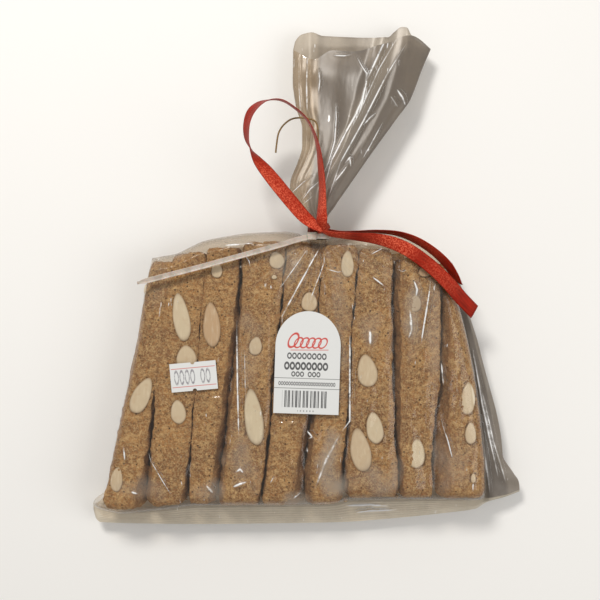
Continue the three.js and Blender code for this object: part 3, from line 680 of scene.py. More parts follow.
def film_material(look, name, tint, slack):
    """Clear film: see-through with a sharp gloss, milky where it is creased, doubled or sealed.
    Its creases, glints and glare patches hold painted highlights, and its folds painted shade.

    `slack` is how deep its small waves are.
    """
    material, w, place = start_material(name)
    haze, shade = w.attribute("haze"), w.attribute("shade")
    away, strength = w.attribute("crease_place"), w.attribute("crease_strength")
    seal = w.attribute("seal")
    ridge = (away * away * -3.0).math("EXPONENT")
    broken = w.noise(place, 6, 3, 0.7).ramp(0.38, 0.6)
    drift = w.noise(place, 9, 3, 0.5)
    streaks = w.noise(w.drawn_out(place, 0.22), 1.9, 2, 0.6)
    glints = streaks.ramp(0.66, 0.74) * drift.ramp(0.5, 0.62)
    # Painted highlight: whitening along the creases, partly real, and scattered glints.
    whitening_and_glint = (ridge * ridge * strength * lerp(0.35, 1.3, broken) + glints * 0.32) * FILM_GLINT
    folds = abs(w.noise(w.drawn_out(place, 0.3), 4.5, 2, 0.5) - 0.5)
    crinkle = folds * -1.2 + w.noise(place, 9, 2, 0.5)
    crimp = (seal * (2 * math.pi * FIN_RIBS) + drift * 3).math("SINE") * seal.ramp(0.02, 0.2)
    relief = crinkle * slack + ridge * strength * 1.6 + crimp * 0.1
    normal = w.bump(relief, 0.8, 0.8)
    facing = w.node("LayerWeight", {}, {"Blend": 0.5, "Normal": normal}, out="Facing")
    gloss = facing ** 5 * 0.9 + 0.05
    haze_and_glare = (haze * lerp(0.7, 1.3, drift) + whitening_and_glint + crimp * 0.05).math("MAXIMUM", 0.0)
    cover_share = haze_and_glare.math("MAXIMUM", gloss, clamp=True)
    share = haze_and_glare / (haze_and_glare + gloss + 0.001)
    tone = shade.blend(look.film_haze, look.film_shade)
    tone = (seal.ramp(0.02, 0.3) * 0.8).blend(tone, look.film_seal)
    # Painted highlight: the tone turns white where the film is whitened and glints.
    tone = (whitening_and_glint * 1.6).blend(tone, (0.9, 0.9, 0.9))
    base = share.blend((1.0, 1.0, 1.0), tone)
    clear = w.node("BsdfTransparent", {}, {"Color": tint})
    body = w.surface(base, lerp(0.07, 0.36, share), normal, {"Metallic": 1 - share})
    return end_material(material, w.node("MixShader", {}, {0: cover_share, 1: clear, 2: body}))


def satin_material(look):
    """Woven satin: crossed threads along the ribbon's own map, sparkling where it is bright."""
    material, w, place = start_material("red satin")
    own = w.node("UVMap", {"uv_map": "weave"})
    across = w.axes(own)[0] * MM
    warp = (across * (2 * math.pi / WARP_PITCH)).math("SINE")
    sheen = w.node("TexNoise", {}, {"Vector": w.drawn_out(own, 0.06), "Scale": 2.6, "Detail": 3.0})
    glint = w.noise(place, 0.6, 2, 0.6)
    shine = w.attribute("shine") * lerp(0.5, 1.5, sheen)
    edge = abs(across - RIBBON_WIDTH / 2).ramp(RIBBON_WIDTH / 2 - 0.5, RIBBON_WIDTH / 2 - 0.15)
    base = sheen.ramp(0.35, 0.7).blend(look.ribbon_low, look.ribbon)
    base = (shine * 0.9).blend(base, look.ribbon)
    base = (shine * glint.ramp(0.42, 0.62)).blend(base, look.ribbon_high)
    base = (edge * 0.4).blend(base, look.ribbon_low)
    normal = w.bump(warp * 0.4 + glint * 1.6 + edge * 0.8, 0.5, 0.12)
    return end_material(material, w.surface(
        base, lerp(0.3, 0.45, sheen), normal,
        {"Specular IOR Level": 0.3, "Specular Tint": (1.0, 0.5, 0.4)}))


def nylon_material(look):
    """Natural nylon, cloudy and a little translucent."""
    material, w, place = start_material("natural nylon")
    cloud = w.noise(place, 4, 3)
    base = cloud.ramp(0.4, 0.7).blend(look.nylon, look.nylon_low)
    return end_material(material, w.surface(
        base, lerp(0.32, 0.5, cloud), w.bump(w.noise(place, 0.7, 2), 0.12, 0.1),
        {"Subsurface Weight": 0.25, "Subsurface Scale": MM, "IOR": 1.53}))


def thread_material(look):
    """Dull spun thread, with painted shade between its fibres."""
    material, w, place = start_material("dull thread")
    fibre = w.noise(place, 0.5, 3, 0.7)
    base = fibre.ramp(0.35, 0.7).blend(look.thread_shade, look.thread)
    surface = w.surface(base, lerp(0.6, 0.85, fibre), w.bump(fibre, 0.8, 0.15))
    return end_material(material, surface)


def paper_place(w, place, spot, turn):
    """x and y on a paper, in millimetres from its own base point."""
    angle = math.radians(turn)
    x, y, _ = w.axes(place)
    x, y = x - spot[0], y - spot[1]
    return x * math.cos(angle) + y * math.sin(angle), y * math.cos(angle) - x * math.sin(angle)


def bar(x, y, left, right, low, high, soft=0.08):
    """1 inside an upright rectangle."""
    def inside(v, a, b):
        return v.ramp(a - soft, a + soft) * v.ramp(b + soft, b - soft)
    return inside(x, left, right) * inside(y, low, high)


def printed_paper(material, w, place, base, ink):
    """Paper with faint fibres, whose print stands a little proud of it."""
    fibre = w.noise(place, 0.8, 4, 0.7)
    grey = (fibre.ramp(0.3, 0.7) * 0.06).blend(base, (0.55, 0.55, 0.55))
    normal = w.bump(fibre + ink * 0.4, 0.2, 0.05)
    return end_material(material, w.surface(
        grey, lerp(0.42, 0.62, fibre), normal, {"Specular IOR Level": 0.4}))


def oval(across, up, outer, inner):
    """1 on the line of an oval, given places as shares of its half width and half height."""
    return abs((across * across + up * up) ** 0.5 - 1).ramp(outer, inner)


def zeros(x, y, left, low, high, pitch, count, bold):
    """A row of plain upright noughts."""
    inside = bar(x, y, left, left + pitch * count, low - 1, high + 1)
    across = (((x - left) / pitch).math("FRACT") - 0.5) / 0.36
    up = (y - (low + high) / 2) / ((high - low) / 2)
    return oval(across, up, bold + 0.12, bold - 0.1) * inside


def label_material(look):
    """White label: a red coil, rows of noughts, two rules and a block of stripes."""
    material, w, place = start_material("label paper")
    x, y = paper_place(w, place, LABEL_SPOT, LABEL_TURN)
    lean = x - (y - 33.4) * 0.35
    coil = abs(y - 29.6 - x * 0.03).ramp(0.28, 0.1) * bar(x, y, -8, 9.5, 28, 38) * 0.8
    for middle, level, half, tall in LABEL_COIL:
        coil = coil + oval((lean - middle) / half, (y - level) / tall, 0.24, 0.08)
    words = sum(zeros(x, y, *row) for row in LABEL_ROWS)
    rules = bar(x, y, -15.5, 15.5, 16.25, 16.55) + bar(x, y, -15.5, 15.5, 11.6, 11.9)
    beat = (x * 3.7).math("SINE") + (x * 8.9 + 2).math("SINE")
    stripes = bar(x, y, -11.2, 9.6, 2.9, 10.7) * beat.ramp(0.02, 0.1)
    dots = bar(x, y, -4, 4, 1.0, 1.7) * (x * 4.3).math("SINE").ramp(0.2, 0.5)
    dark = (words * 0.95 + rules * 0.75 + stripes + dots * 0.6).math("MINIMUM", 1.0)
    base = dark.blend(look.paper, look.ink)
    base = coil.blend(base, look.red_ink)
    return printed_paper(material, w, place, base, dark)


def sticker_material(look):
    """White sticker: two red rules and a row of stamped grey noughts."""
    material, w, place = start_material("sticker paper")
    x, y = paper_place(w, place, STICKER_SPOT, STICKER_TURN)
    red = (bar(x, y, -10.2, 10.2, 3.9, 4.25) + bar(x, y, -10.2, 10.2, -4.6, -4.25)) * 0.8
    stamp = w.noise(place, 1.2, 3, 0.7).ramp(0.35, 0.55)
    dark = sum(zeros(x, y, *row) for row in STICKER_ROWS) * lerp(0.3, 0.85, stamp)
    base = dark.blend(look.paper, look.stamp_ink)
    base = red.blend(base, look.red_ink)
    return printed_paper(material, w, place, base, dark)


# --- Making pieces ---------------------------------------------------------------------------

def placed(name, data, place=(0, 0, 0)):
    """New object in the scene that shows some data."""
    thing = bpy.data.objects.new(name, data)
    thing.location = place
    bpy.context.collection.objects.link(thing)
    return thing


def dressed(piece, node):
    """The piece, now riding on the pack in place of a CAD node."""
    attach(piece, "root")
    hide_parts(node)
    return piece


def finished(name, bm, material, node="bag", smooth_faces=True):
    """Piece of a bmesh drawn in millimetres, in place of a CAD node."""
    bmesh.ops.scale(bm, vec=(MM, MM, MM), verts=bm.verts)
    mesh = bpy.data.meshes.new(name)
    bm.to_mesh(mesh)
    bm.free()
    mesh.polygons.foreach_set("use_smooth", [smooth_faces] * len(mesh.polygons))
    mesh.materials.append(material)
    return dressed(placed(name, mesh), node)


def walled(piece, thickness, offset):
    """The piece, its sheet given a wall."""
    wall = piece.modifiers.new("wall", "SOLIDIFY")
    wall.thickness, wall.offset = thickness * MM, offset
    return piece


def sheet(columns, rows):
    """Bmesh of a grid with u across and v up, both from 0 to 1."""
    bm = bmesh.new()
    bmesh.ops.create_grid(bm, x_segments=columns, y_segments=rows, size=0.5)
    bmesh.ops.translate(bm, vec=(0.5, 0.5, 0), verts=bm.verts)
    return bm


def positions(bm):
    return np.array([v.co[:] for v in bm.verts])


def moved(bm, *places):
    """Takes the vertices to arrays of x, y and z."""
    for v, p in zip(bm.verts, np.stack(places, axis=1)):
        v.co = p


def painted(bm, name, values):
    """Number at each vertex under an attribute's name."""
    layer = bm.verts.layers.float.get(name) or bm.verts.layers.float.new(name)
    for v, value in zip(bm.verts, values):
        v[layer] = float(value)


# --- Film ------------------------------------------------------------------------------------

def body_place(u, v):
    """x and y of a spot on the filled body, and its shares of dome, fin and gusset flap.

    u runs across the sheet and v up it from the fin's free edge. The flap's share is negative
    left of it.
    """
    fin = np.clip(1 - v / FIN_SHARE, 0, 1)
    body = np.clip((v - FIN_SHARE) / (DOME_SHARE - FIN_SHARE), 0, 1)
    dome = np.clip((v - DOME_SHARE) / (1 - DOME_SHARE), 0, 1)
    flap = (u - FLAP_SHARE) / (1 - FLAP_SHARE)
    level = lerp(ROOT_Y, SHOULDER_Y, body)
    left, fill, right = side_lines(level, dome)
    x = np.where(flap < 0, lerp(left, fill, u / FLAP_SHARE), lerp(fill, right, flap))
    y = level + (1 - smooth((level - ROOT_Y) / FIN_FOLLOW)) * (at(FIN_ROOT, x) - ROOT_Y)
    y = lerp(y, at(FIN_EDGE, x), fin)
    y = lerp(y, dome_line(x), dome)
    return x, y, dome, fin, flap


def creased(x, y, lines):
    """Relief, side-to-side place and strength of creases at points of a film.

    The place runs from -1 to 1 across the nearest crease, and the strength, its whitening and
    painted highlight, is 0 away from any.
    """
    relief, place, strength = np.zeros(len(x)), np.full(len(x), 3.0), np.zeros(len(x))
    for height, width, whitening_and_glint, *stops in lines:
        away, turn, share = distance_to(x, y, list(zip(stops[::2], stops[1::2])))
        fade = 1 - np.abs(2 * share - 1) ** 3
        away = away / (width * (0.45 + 0.55 * fade))
        relief += 0.6 * height * fade * np.exp(-(away ** 2))
        near = (away < np.abs(place)) & (away < CREASE_REACH)
        place = np.where(near, away * turn, place)
        # A crease's whitening is partly a painted highlight along it.
        strength = np.where(near, whitening_and_glint * fade, strength)
    return relief, place, strength


def glare_veiled(x, y):
    """Milky patches with uneven edges, painted as glare where the film reflects the light."""
    patchy = flat_grain(x * 0.12, y * 0.09, 4.4)
    haze_and_glare = np.zeros(len(x))
    for vx, vy, rx, ry, amount in GLARE_VEILS:
        away = np.hypot((x - vx) / rx, (y - vy) / ry)
        haze_and_glare += GLARE_VEIL_GAIN * amount * np.clip(1.3 - away + 0.9 * patchy, 0, 1)
    return haze_and_glare


def wrinkles(x, y):
    """Relief and extra haze of the slack film, with gathers running to the neck and painted glare.
    """
    dx, dy = x - NECK_X, NECK_Y - y
    reach = np.hypot(dx, dy)
    near = np.exp(-reach / GATHER_REACH) * smooth((reach - 4) / 6)
    rays = np.abs(flat_grain(np.arctan2(dx, dy) * 9, reach * 0.02, 3.1))
    relief = 1.5 * near * (1 - 2 * rays)
    haze = 0.30 * near * np.clip(1 - 5 * rays, 0, 1) + 0.08 * near
    long, short = flat_grain(x * 0.16, y * 0.035, 7.7), flat_grain(x * 0.35, y * 0.22, 1.3)
    return relief + 0.55 * long + 0.22 * short, haze + glare_veiled(x, y)


def under_papers(x, y):
    """1 under the label and the sticker, fading out round them."""
    shares = []
    for px, py, half_x, half_y in PAPER_SPOTS:
        dx, dy = np.maximum(np.abs(x - px) - half_x, 0), np.maximum(np.abs(y - py) - half_y, 0)
        shares.append(np.exp(-(dx ** 2 + dy ** 2) / 6))
    return np.maximum.reduce(shares)


def film_side(front):
    """Front or rear sheet of the filled body with its fin and gusset flap."""
    bm = sheet(*(FRONT_GRID if front else REAR_GRID))
    u, v, _ = positions(bm).T
    x, y, dome, fin, flap = body_place(u, v)
    edge, full, z = bag_skin(x, y, dome, not front)
    z = lerp(edge, z, np.clip(u / SEAM_SHARE, 0, 1))
    inside = np.minimum.reduce(
        [u / 0.02, (1 - u) / 0.02, v / 0.02, (1 - v) / 0.03, np.ones(len(x))])
    haze_and_glare, place, strength = np.zeros((3, len(x)))
    if front:
        relief, haze_and_glare = wrinkles(x, y)
        folds, place, strength = creased(x, y, CREASES)
        papers = under_papers(x, y)
        sag = flat_grain(x * 0.09, y * 0.09, 5.5)
        loose = np.clip(flap * 8, 0, 1) + np.clip(fin * 2, 0, 1) * 0.25
        relief = (relief + folds) * (0.35 + 0.65 * full) * (1 - 0.85 * papers) + 0.5
        z = z + inside * (relief + loose * (0.9 + 1.3 * sag))
        z = np.minimum(z, np.where(papers > 0.3, PAPER_CEILING, FILM_CEILING))
    else:
        z = z - inside * np.clip(flap * 8, 0, 1) * 0.6
    moved(bm, x, y, z)
    seal = np.clip(fin * 3, 0, 1)
    falling = 1 - smooth(full * 1.15)
    gusset = np.clip(flap * 6, 0, 1) * (1 - smooth(full * 4))
    # The haze also holds the painted glare patches.
    haze = 0.015 + haze_and_glare + (0.36 + 0.24 * dome) * falling + 0.65 * seal + 0.5 * gusset
    haze = haze + 0.2 * falling * smooth((u - 0.75) / 0.18)
    # Painted shade: a dark band across the gusset flap, and darker film where it falls over the
    # sides.
    shade = gusset * np.clip(1.5 - np.abs(flap - 0.28) * 2.5, 0.45, 1) + 0.3 * falling * (1 - seal)
    paint_film(bm, np.clip(haze, 0, 0.85), shade, place, strength, fin)
    return bm


def paint_film(bm, haze, shade, place, strength, seal):
    painted(bm, "haze", haze)
    painted(bm, "shade", np.clip(shade, 0, 1))
    painted(bm, "crease_place", place)
    painted(bm, "crease_strength", strength)
    painted(bm, "seal", seal)


def make_film_body(front, doubled):
    """Front and rear film of the body, the rear one facing down."""
    finished("film_front", film_side(True), front)
    rear = film_side(False)
    bmesh.ops.reverse_faces(rear, faces=rear.faces)
    finished("film_rear", rear, doubled)


def flare_point(f, v, side):
    """Place on the gathered neck and flare, and how far they have spread there.

    f runs across it, v up it, and side is 1 on the front ply and -1 on the rear one.
    """
    level = lerp(FLARE_START_Y, FLARE_END_Y, v)
    x = lerp(at(FLARE_LEFT, level), at(FLARE_RIGHT, level), f)
    lens = np.sqrt(np.maximum(1 - np.abs(2 * f - 1) ** 2, 0))
    spread = smooth((level - 20) / 60)
    upper = smooth((level - MOUTH_FROM_Y) / (FLARE_END_Y - MOUTH_FROM_Y))
    mouth = np.where(side > 0, at(FRONT_MOUTH, x), at(REAR_MOUTH, x))
    folds = sum(
        h * smooth(1 - np.abs(f + 0.03 * side + 0.02 * np.sin(v * 5 + h * 9) - c) / w)
        for c, h, w in FLARE_FOLDS
    )
    tucks = np.sin(f * 34 + side) * 0.45 * (1 - spread) ** 3
    half = at(FLARE_HALF, level)
    drape = flat_grain(x * 0.05, level * 0.03, 2.2, side * 3)
    relief = folds * lerp(0.5, 1.1, spread) + tucks + drape * 1.6 * spread
    z = at(FLARE_Z, level) + side * half * lens + lens * relief
    return x, level + upper * (mouth - FLARE_END_Y), z, spread


def make_flare(material):
    """Neck and flared mouth: front and rear ply in one tube."""
    bm = sheet(*FLARE_GRID)
    u, v, _ = positions(bm).T
    turn = u * 2
    side = np.where(turn < 1, 1.0, -1.0)
    share = np.where(turn < 1, turn, 2 - turn)
    f = (1 - np.cos(share * math.pi)) / 2
    x, y, z, spread = flare_point(f, v, side)
    relief, place, strength = creased(x, y, FLARE_CREASES)
    front = side > 0
    moved(bm, x, y, z + np.where(front, relief * 0.8, 0))
    rim = smooth((v - 0.985) / 0.012)
    edge = np.exp(-(np.minimum(f, 1 - f) / 0.015) ** 2)
    inner = smooth((x - lerp(-1, 4.5, spread)) / 2.5)
    fold = np.exp(-(distance_to(x, y, FOLD_LINE)[0] / 4.2) ** 2)
    dark = np.exp(-(distance_to(x, y, SHADE_LINE)[0] / 4.5) ** 2)
    entry = smooth((v * (FLARE_END_Y - FLARE_START_Y) - 5) / 7)
    haze = np.where(front, 0.10 + 0.62 * inner + (0.3 * inner - 0.1) * rim, 0.62 + 0.2 * rim)
    haze = (haze + 0.12 * edge + 0.05 * fold) * lerp(0.25, 1, entry)
    # Painted shade in the valley beside the rolled fold, and a painted highlight along the fold.
    shade = np.where(front, inner + 0.3 * dark - 0.4 * fold, 0.12 + 0.5 * inner)
    cloud = flat_grain(x * 0.10, y * 0.05, 6.1, side * 2)
    haze = np.clip(haze * (1 + 0.25 * cloud), 0, 0.9)
    paint_film(bm, haze, shade + 0.2 * cloud, place, np.where(front, strength, 0), np.zeros(len(x)))
    bmesh.ops.remove_doubles(bm, verts=bm.verts, dist=MERGE)
    bmesh.ops.recalc_face_normals(bm, faces=bm.faces)
    finished("film_flare", bm, material)


# --- Sticks ----------------------------------------------------------------------------------

def block(size, step):
    """Box cut into a grid of about `step` on every side."""
    bm = bmesh.new()
    bmesh.ops.create_cube(bm, size=1)
    bmesh.ops.scale(bm, vec=size, verts=bm.verts)
    for axis, length in enumerate(size):
        along = [e for e in bm.edges
                 if abs(e.verts[0].co[axis] - e.verts[1].co[axis]) > length / 2]
        bmesh.ops.subdivide_edges(bm, edges=along, cuts=max(1, round(length / step)),
                                  use_grid_fill=True)
    return bm


def feet(index):
    """Edges of a front stick's underside, spread into the gaps beside it."""
    rows = []
    for level, (left, right) in enumerate(STICKS[index][0]):
        before = STICKS[index - 1][0][level][1] if index else left
        after = STICKS[index + 1][0][level][0] if index + 1 < len(STICKS) else right
        rows.append((left - FOOT_SHARE * (left - before), right + FOOT_SHARE * (after - right)))
    return rows


def crumbly_block(seed, size, step, rough):
    """Rounded block with a crumbly skin: its bmesh, the points of its vertices, and their share of
    baked skin, raised as painted shade towards the edges and ends of each face.
    """
    bm = block(size, step)
    p = positions(bm)
    half = np.array(size) / 2
    core = np.clip(p, -(half - STICK_EDGE), half - STICK_EDGE)
    out = p - core
    away = np.linalg.norm(out, axis=1)
    normal = out / np.where(away > 1e-6, away, 1)[:, None]
    p = core + normal * np.max(np.abs(out), axis=1)[:, None]
    seed = seed * 5.3
    chunk = grain(p, 9.0, seed) * 0.8 + grain(p, 3.6, seed + 1) * 0.8
    crumbs = grain(p, 1.5, seed + 2) * 0.4 + grain(p, 0.8, seed + 3) * 0.3
    pits = np.minimum(grain(p, 1.9, seed + 4) + 0.2, 0) * 0.9
    top = np.abs(normal[:, 2])
    push = rough * (chunk * (1 - 0.6 * top) + (crumbs + pits) * (0.45 + 0.55 * top)) - 0.3
    p = p + normal * push[:, None]
    side, end = np.abs(p[:, 0]) / half[0], np.abs(p[:, 1]) / half[1]
    # Painted shade: each face darker towards its long edges and its ends.
    rim = np.maximum(smooth((side - 0.5) / 0.5), smooth((end - 0.88) / 0.12))
    return bm, p, np.clip(np.maximum(1 - top * 1.6, 0.5 * rim), 0, 1)


def stick(seed, spec, underside, base, step, rough):
    """One crumbly stick from its top edges down to its underside's, `base` above the floor."""
    edges, low_y, top_y, roll = spec
    width = sum(right - left for left, right in edges) / len(edges)
    length = top_y - low_y
    bm, p, crust_and_edge_shade = crumbly_block(seed, (width, length, STICK_DEPTH), step, rough)
    t = p[:, 1] / length + 0.5
    taper = 1 - 0.2 * np.clip((np.abs(2 * t - 1) - 0.9) / 0.1, 0, 1) ** 2
    cos, sin = math.cos(math.radians(roll)), math.sin(math.radians(roll))
    across = p[:, 0] * cos + p[:, 2] * sin
    z = p[:, 2] * cos - p[:, 0] * sin
    reach = width / 2 * cos + STICK_DEPTH / 2 * abs(sin)
    y = lerp(low_y, top_y, t)
    depth = np.clip((0.5 - p[:, 2] / STICK_DEPTH) / FOOT_DEPTH, 0, 1)
    left, right = [
        lerp(at([(level, e[k]) for level, e in zip(STICK_LEVELS, edges)], y),
             at([(level, e[k]) for level, e in zip(STICK_LEVELS, underside)], y), depth)
        for k in (0, 1)
    ]
    x = (left + right) / 2 + across * taper * (right - left + STICK_FLARE) / (2 * reach)
    return bm, x, y, base + STICK_DEPTH / 2 + z, crust_and_edge_shade


def almond_outline(x, y, almond):
    """How far points lie from an almond's middle, in shares of the way to its outline."""
    ax, ay, width, height, lean, _ = almond
    angle = math.radians(lean)
    dx, dy = x - ax, y - ay
    across = (dx * math.cos(angle) + dy * math.sin(angle)) / (width / 2)
    along = (dy * math.cos(angle) - dx * math.sin(angle)) / (height / 2)
    return np.hypot(across * (1 + 0.22 * along), along)


def within_sides(x, y, gaps):
    """x, kept inside the bag's left side and the fill's right side."""
    left, fill, _ = side_lines(y, dome_share(y))
    return np.clip(x, left + gaps[0], fill - gaps[1])


def finished_stick(name, bm, x, y, z, gaps, crust_and_edge_shade, material):
    """Stick whose faces stay under the front film."""
    moved(bm, x, y, np.minimum(z, cover(x, y) - gaps[2]))
    painted(bm, "crust_and_edge_shade", crust_and_edge_shade * 0.8)
    finished(name, bm, material)


def make_front_stick(index, material):
    """Stick of the front layer, as high as its column and sunk a little round its almonds."""
    bm, x, y, z, crust_and_edge_shade = stick(
        index, STICKS[index], feet(index), FRONT_BASE, FRONT_STEP, FRONT_ROUGH)
    x = within_sides(x, y, FRONT_GAPS)
    rise = np.clip((z - FRONT_BASE) / STICK_DEPTH, 0, 1)
    z = z + rise * (COLUMN_RISE[index] * 0.8 - 0.2)
    for almond in ALMONDS:
        ring = almond_outline(x, y, almond)
        near = np.clip(1 - np.abs(ring - 1.06) / 0.12, 0, 1)
        z = z - np.where(z > FRONT_BASE + 9, near * 0.7 + np.where(ring < 1, 0.5, 0), 0)
    finished_stick(f"stick_front_{index + 1}", bm, x, y, z, FRONT_GAPS, crust_and_edge_shade, material)


def make_rear_stick(index, material):
    """Stick of the rear layer, under the gap beside the front stick of the same number."""
    edges, low_y, top_y, _ = STICKS[index]
    edges = [(left + REAR_SHIFT, right + REAR_SHIFT) for left, right in edges]
    spec = (edges, low_y + 2 + 2 * math.sin(index * 2.9), top_y - 3 - 2 * math.sin(index * 1.7), 0)
    bm, x, y, z, crust_and_edge_shade = stick(index + 20, spec, edges, REAR_BASE, REAR_STEP, REAR_ROUGH)
    x = within_sides(x, y, REAR_GAPS)
    z = np.maximum(z, cover(x, y, low=True) + REAR_FILM_GAP)
    finished_stick(f"stick_rear_{index + 1}", bm, x, y, z, REAR_GAPS, crust_and_edge_shade, material)


def make_almonds(material):
    """Sliced almonds, cut flush with the faces of the sticks."""
    whole = bmesh.new()
    layers = whole.verts.layers.float
    for name in ("rim", "pink"):
        layers.new(name)
    rim_layer, pink_layer = layers["rim"], layers["pink"]
    for number, almond in enumerate(ALMONDS):
        ax, ay, width, height, lean, pink = almond
        made = bmesh.ops.create_uvsphere(whole, u_segments=40, v_segments=20, radius=1)["verts"]
        level = float(cover(np.array([ax]), np.array([ay]))[0]) - ALMOND_SINK
        angle = math.radians(lean)
        for v in made:
            c = v.co.copy()
            rim = min(1, max(0, (math.hypot(c.x, c.y) - 0.86) / 0.14))
            v[rim_layer] = rim * (0.75 if c.z > -0.2 else 1)
            v[pink_layer] = pink
            narrow = 1 - 0.2 * c.y
            lump = 1 + 0.05 * noise.noise(Vector((c.x * 1.5, c.y * 1.5, number * 3.0)))
            flat = c.z ** 0.45 if c.z > 0 else c.z * 3
            px, py = c.x * width / 2 * narrow * lump, c.y * height / 2 * lump
            dent = 0.12 * noise.noise(Vector((c.x * 2, c.y * 2, number * 7.0)))
            v.co = (
                ax + px * math.cos(angle) - py * math.sin(angle),
                ay + py * math.cos(angle) + px * math.sin(angle),
                level + flat * ALMOND_HALF + dent,
            )
    finished("almonds", whole, material)


def make_crumbs(material, count, seed):
    """Loose crumbs along the bottom of the bag and in the gaps."""
    rng = random.Random(seed)
    whole = bmesh.new()
    for _ in range(count):
        gap = rng.choice(GAPS)
        along = rng.random() ** 2
        y = lerp(-107, -60, along)
        x = lerp(*gap, down_gap(y)) + rng.uniform(-1.5, 1.5)
        if rng.random() < 0.45:
            x, y = rng.uniform(-92, 20), rng.uniform(-108, -106)
        spot = Vector((x, y, rng.uniform(9, 14)))
        size = rng.uniform(0.35, 1.1)
        for v in bmesh.ops.create_icosphere(whole, subdivisions=1, radius=size)["verts"]:
            v.co = v.co * (1 + 0.35 * noise.noise(v.co * 2 + spot)) + spot
    finished("crumbs", whole, material, smooth_faces=False)


# --- Ribbon, tie and thread ------------------------------------------------------------------

def level_across(along):
    """Level direction to the right of a route."""
    return Vector((along.y, -along.x, 0)).normalized()


def length_of(line):
    return sum((a[0] - b[0]).length for a, b in zip(line, line[1:]))


def make_strip(name, node, stops, pleat, steps, crown, lean, cut, material):
    """Ribbon along a route, with its own map in millimetres, and its path and length in metres.

    `pleat` narrows it as (t, share), `crown` arches it, `lean` moves its shine to one side and
    `cut` slants its far end.
    """
    bm = sheet(RIBBON_ACROSS, steps)
    weave = bm.loops.layers.uv.new("weave")
    line = route(stops, steps)
    length = length_of(line)
    for face in bm.faces:
        for loop in face.loops:
            loop[weave].uv = (loop.vert.co.x * RIBBON_WIDTH, loop.vert.co.y * length)
    shines = [(i / (len(stops) - 1), stop[4]) for i, stop in enumerate(stops)]
    u, t, _ = positions(bm).T
    painted(bm, "shine", at(shines, t) * np.clip(1 - lean * (2 * u - 1), 0, 1.5))
    for v in bm.verts:
        u, t = v.co.x, v.co.y
        centre, along, roll = line[min(round(t * steps), steps)]
        across = Matrix.Rotation(roll, 3, along) @ level_across(along)
        normal = across.cross(along)
        side = 2 * u - 1
        half = RIBBON_WIDTH / 2 * float(at(pleat, t))
        v.co = centre + across * (side * half) + normal * (crown * (1 - side * side))
        v.co += along * (cut * side * half * max(0, (t - 0.9) / 0.1))
    piece = walled(finished(name, bm, material, node), RIBBON_THICK, 0)
    return piece, [tuple(c * MM for c in p) for p, _, _ in line], length * MM


def make_ribbons(material):
    """Loop and two tails, each a satin strip running from the knot."""
    both = [(0, 0.35), (0.06, 0.85), (0.12, 1), (0.93, 1), (0.97, 0.75), (1, 0.35)]
    near = [(0, 0.4), (0.12, 0.8), (0.3, 1), (1, 1)]
    plan = [
        ("ribbon_loop", LOOP, both, 210, 0.35, 0.5, 0.0, "object"),
        ("ribbon_tail_front", TAIL_FRONT, near, 100, 0.4, 0.0, 0.35, "bare"),
        ("ribbon_tail_rear", TAIL_REAR, near, 90, 0.3, 0.0, -0.3, "bare"),
    ]
    for node, *shape, far_end in plan:
        piece, path, length = make_strip(f"{node}_satin", node, *shape, material)


def make_thread(material):
    """Loose thread, a round cord."""
    curve = bpy.data.curves.new("thread_line", "CURVE")
    curve.dimensions = "3D"
    line = route(THREAD, THREAD_STEPS)
    spline = curve.splines.new("POLY")
    spline.points.add(len(line) - 1)
    for stop, (p, _, _) in zip(spline.points, line):
        stop.co = (*(p * MM), 1)
    curve.bevel_depth = THREAD_RADIUS * MM
    curve.bevel_resolution = 3
    curve.use_fill_caps = True
    curve.materials.append(material)
    piece = dressed(placed("thread", curve), "ribbon_thread")
    tuple(line[0][0] * MM)
    length_of(line) * MM


def ring(thick, from_y, to_y, segments):
    """Bmesh of a band round the neck, spun from its own section."""
    bm = bmesh.new()
    inner = NECK_RADIUS + TIE_GAP
    outer = inner + thick
    corners = (inner, from_y), (inner, to_y), (outer, to_y), (outer, from_y)
    face = bm.faces.new([bm.verts.new((NECK_X + r, y, NECK_Z)) for r, y in corners])
    bmesh.ops.spin(
        bm, geom=[face, *face.edges, *face.verts], cent=(NECK_X, 0, NECK_Z), axis=(0, 1, 0),
        dvec=(0, 0, 0), angle=2 * math.pi, steps=segments, use_merge=True, use_duplicate=False)
    bmesh.ops.remove_doubles(bm, verts=bm.verts, dist=MERGE)
    return bm


def make_knot(material):
    """Ribbon wound round the neck, and the folded knot in front of it."""
    bm = ring(WRAP_THICK, WRAP_FROM_Y, WRAP_TO_Y, 64)
    made = bmesh.ops.create_uvsphere(bm, u_segments=64, v_segments=40, radius=1)["verts"]
    for v in made:
        c = v.co.copy()
        lap = 0.16 * math.sin(c.x * 5.2 + c.y * 2.4) * (1 - c.z * c.z * 0.3)
        fold = 0.1 * noise.noise(c * 2.6 + Vector((4, 1, 2)))
        pinch = 1 - 0.22 * math.exp(-((c.x * 3) ** 2))
        v.co = Vector(KNOT_CENTRE) + Vector((
            c.x * KNOT_RADII[0] * (1 + fold), c.y * KNOT_RADII[1] * pinch * (1 + lap),
            c.z * KNOT_RADII[2] * (1 + lap + fold)))
    bmesh.ops.recalc_face_normals(bm, faces=bm.faces)
    painted(bm, "shine", [0.6 * smooth((v.co.z - 29.5) / 2) for v in bm.verts])
    weave = bm.loops.layers.uv.new("weave")
    for face in bm.faces:
        for loop in face.loops:
            loop[weave].uv = (loop.vert.co.y, loop.vert.co.x)
    finished("ribbon_knot_satin", bm, material, "ribbon_knot")


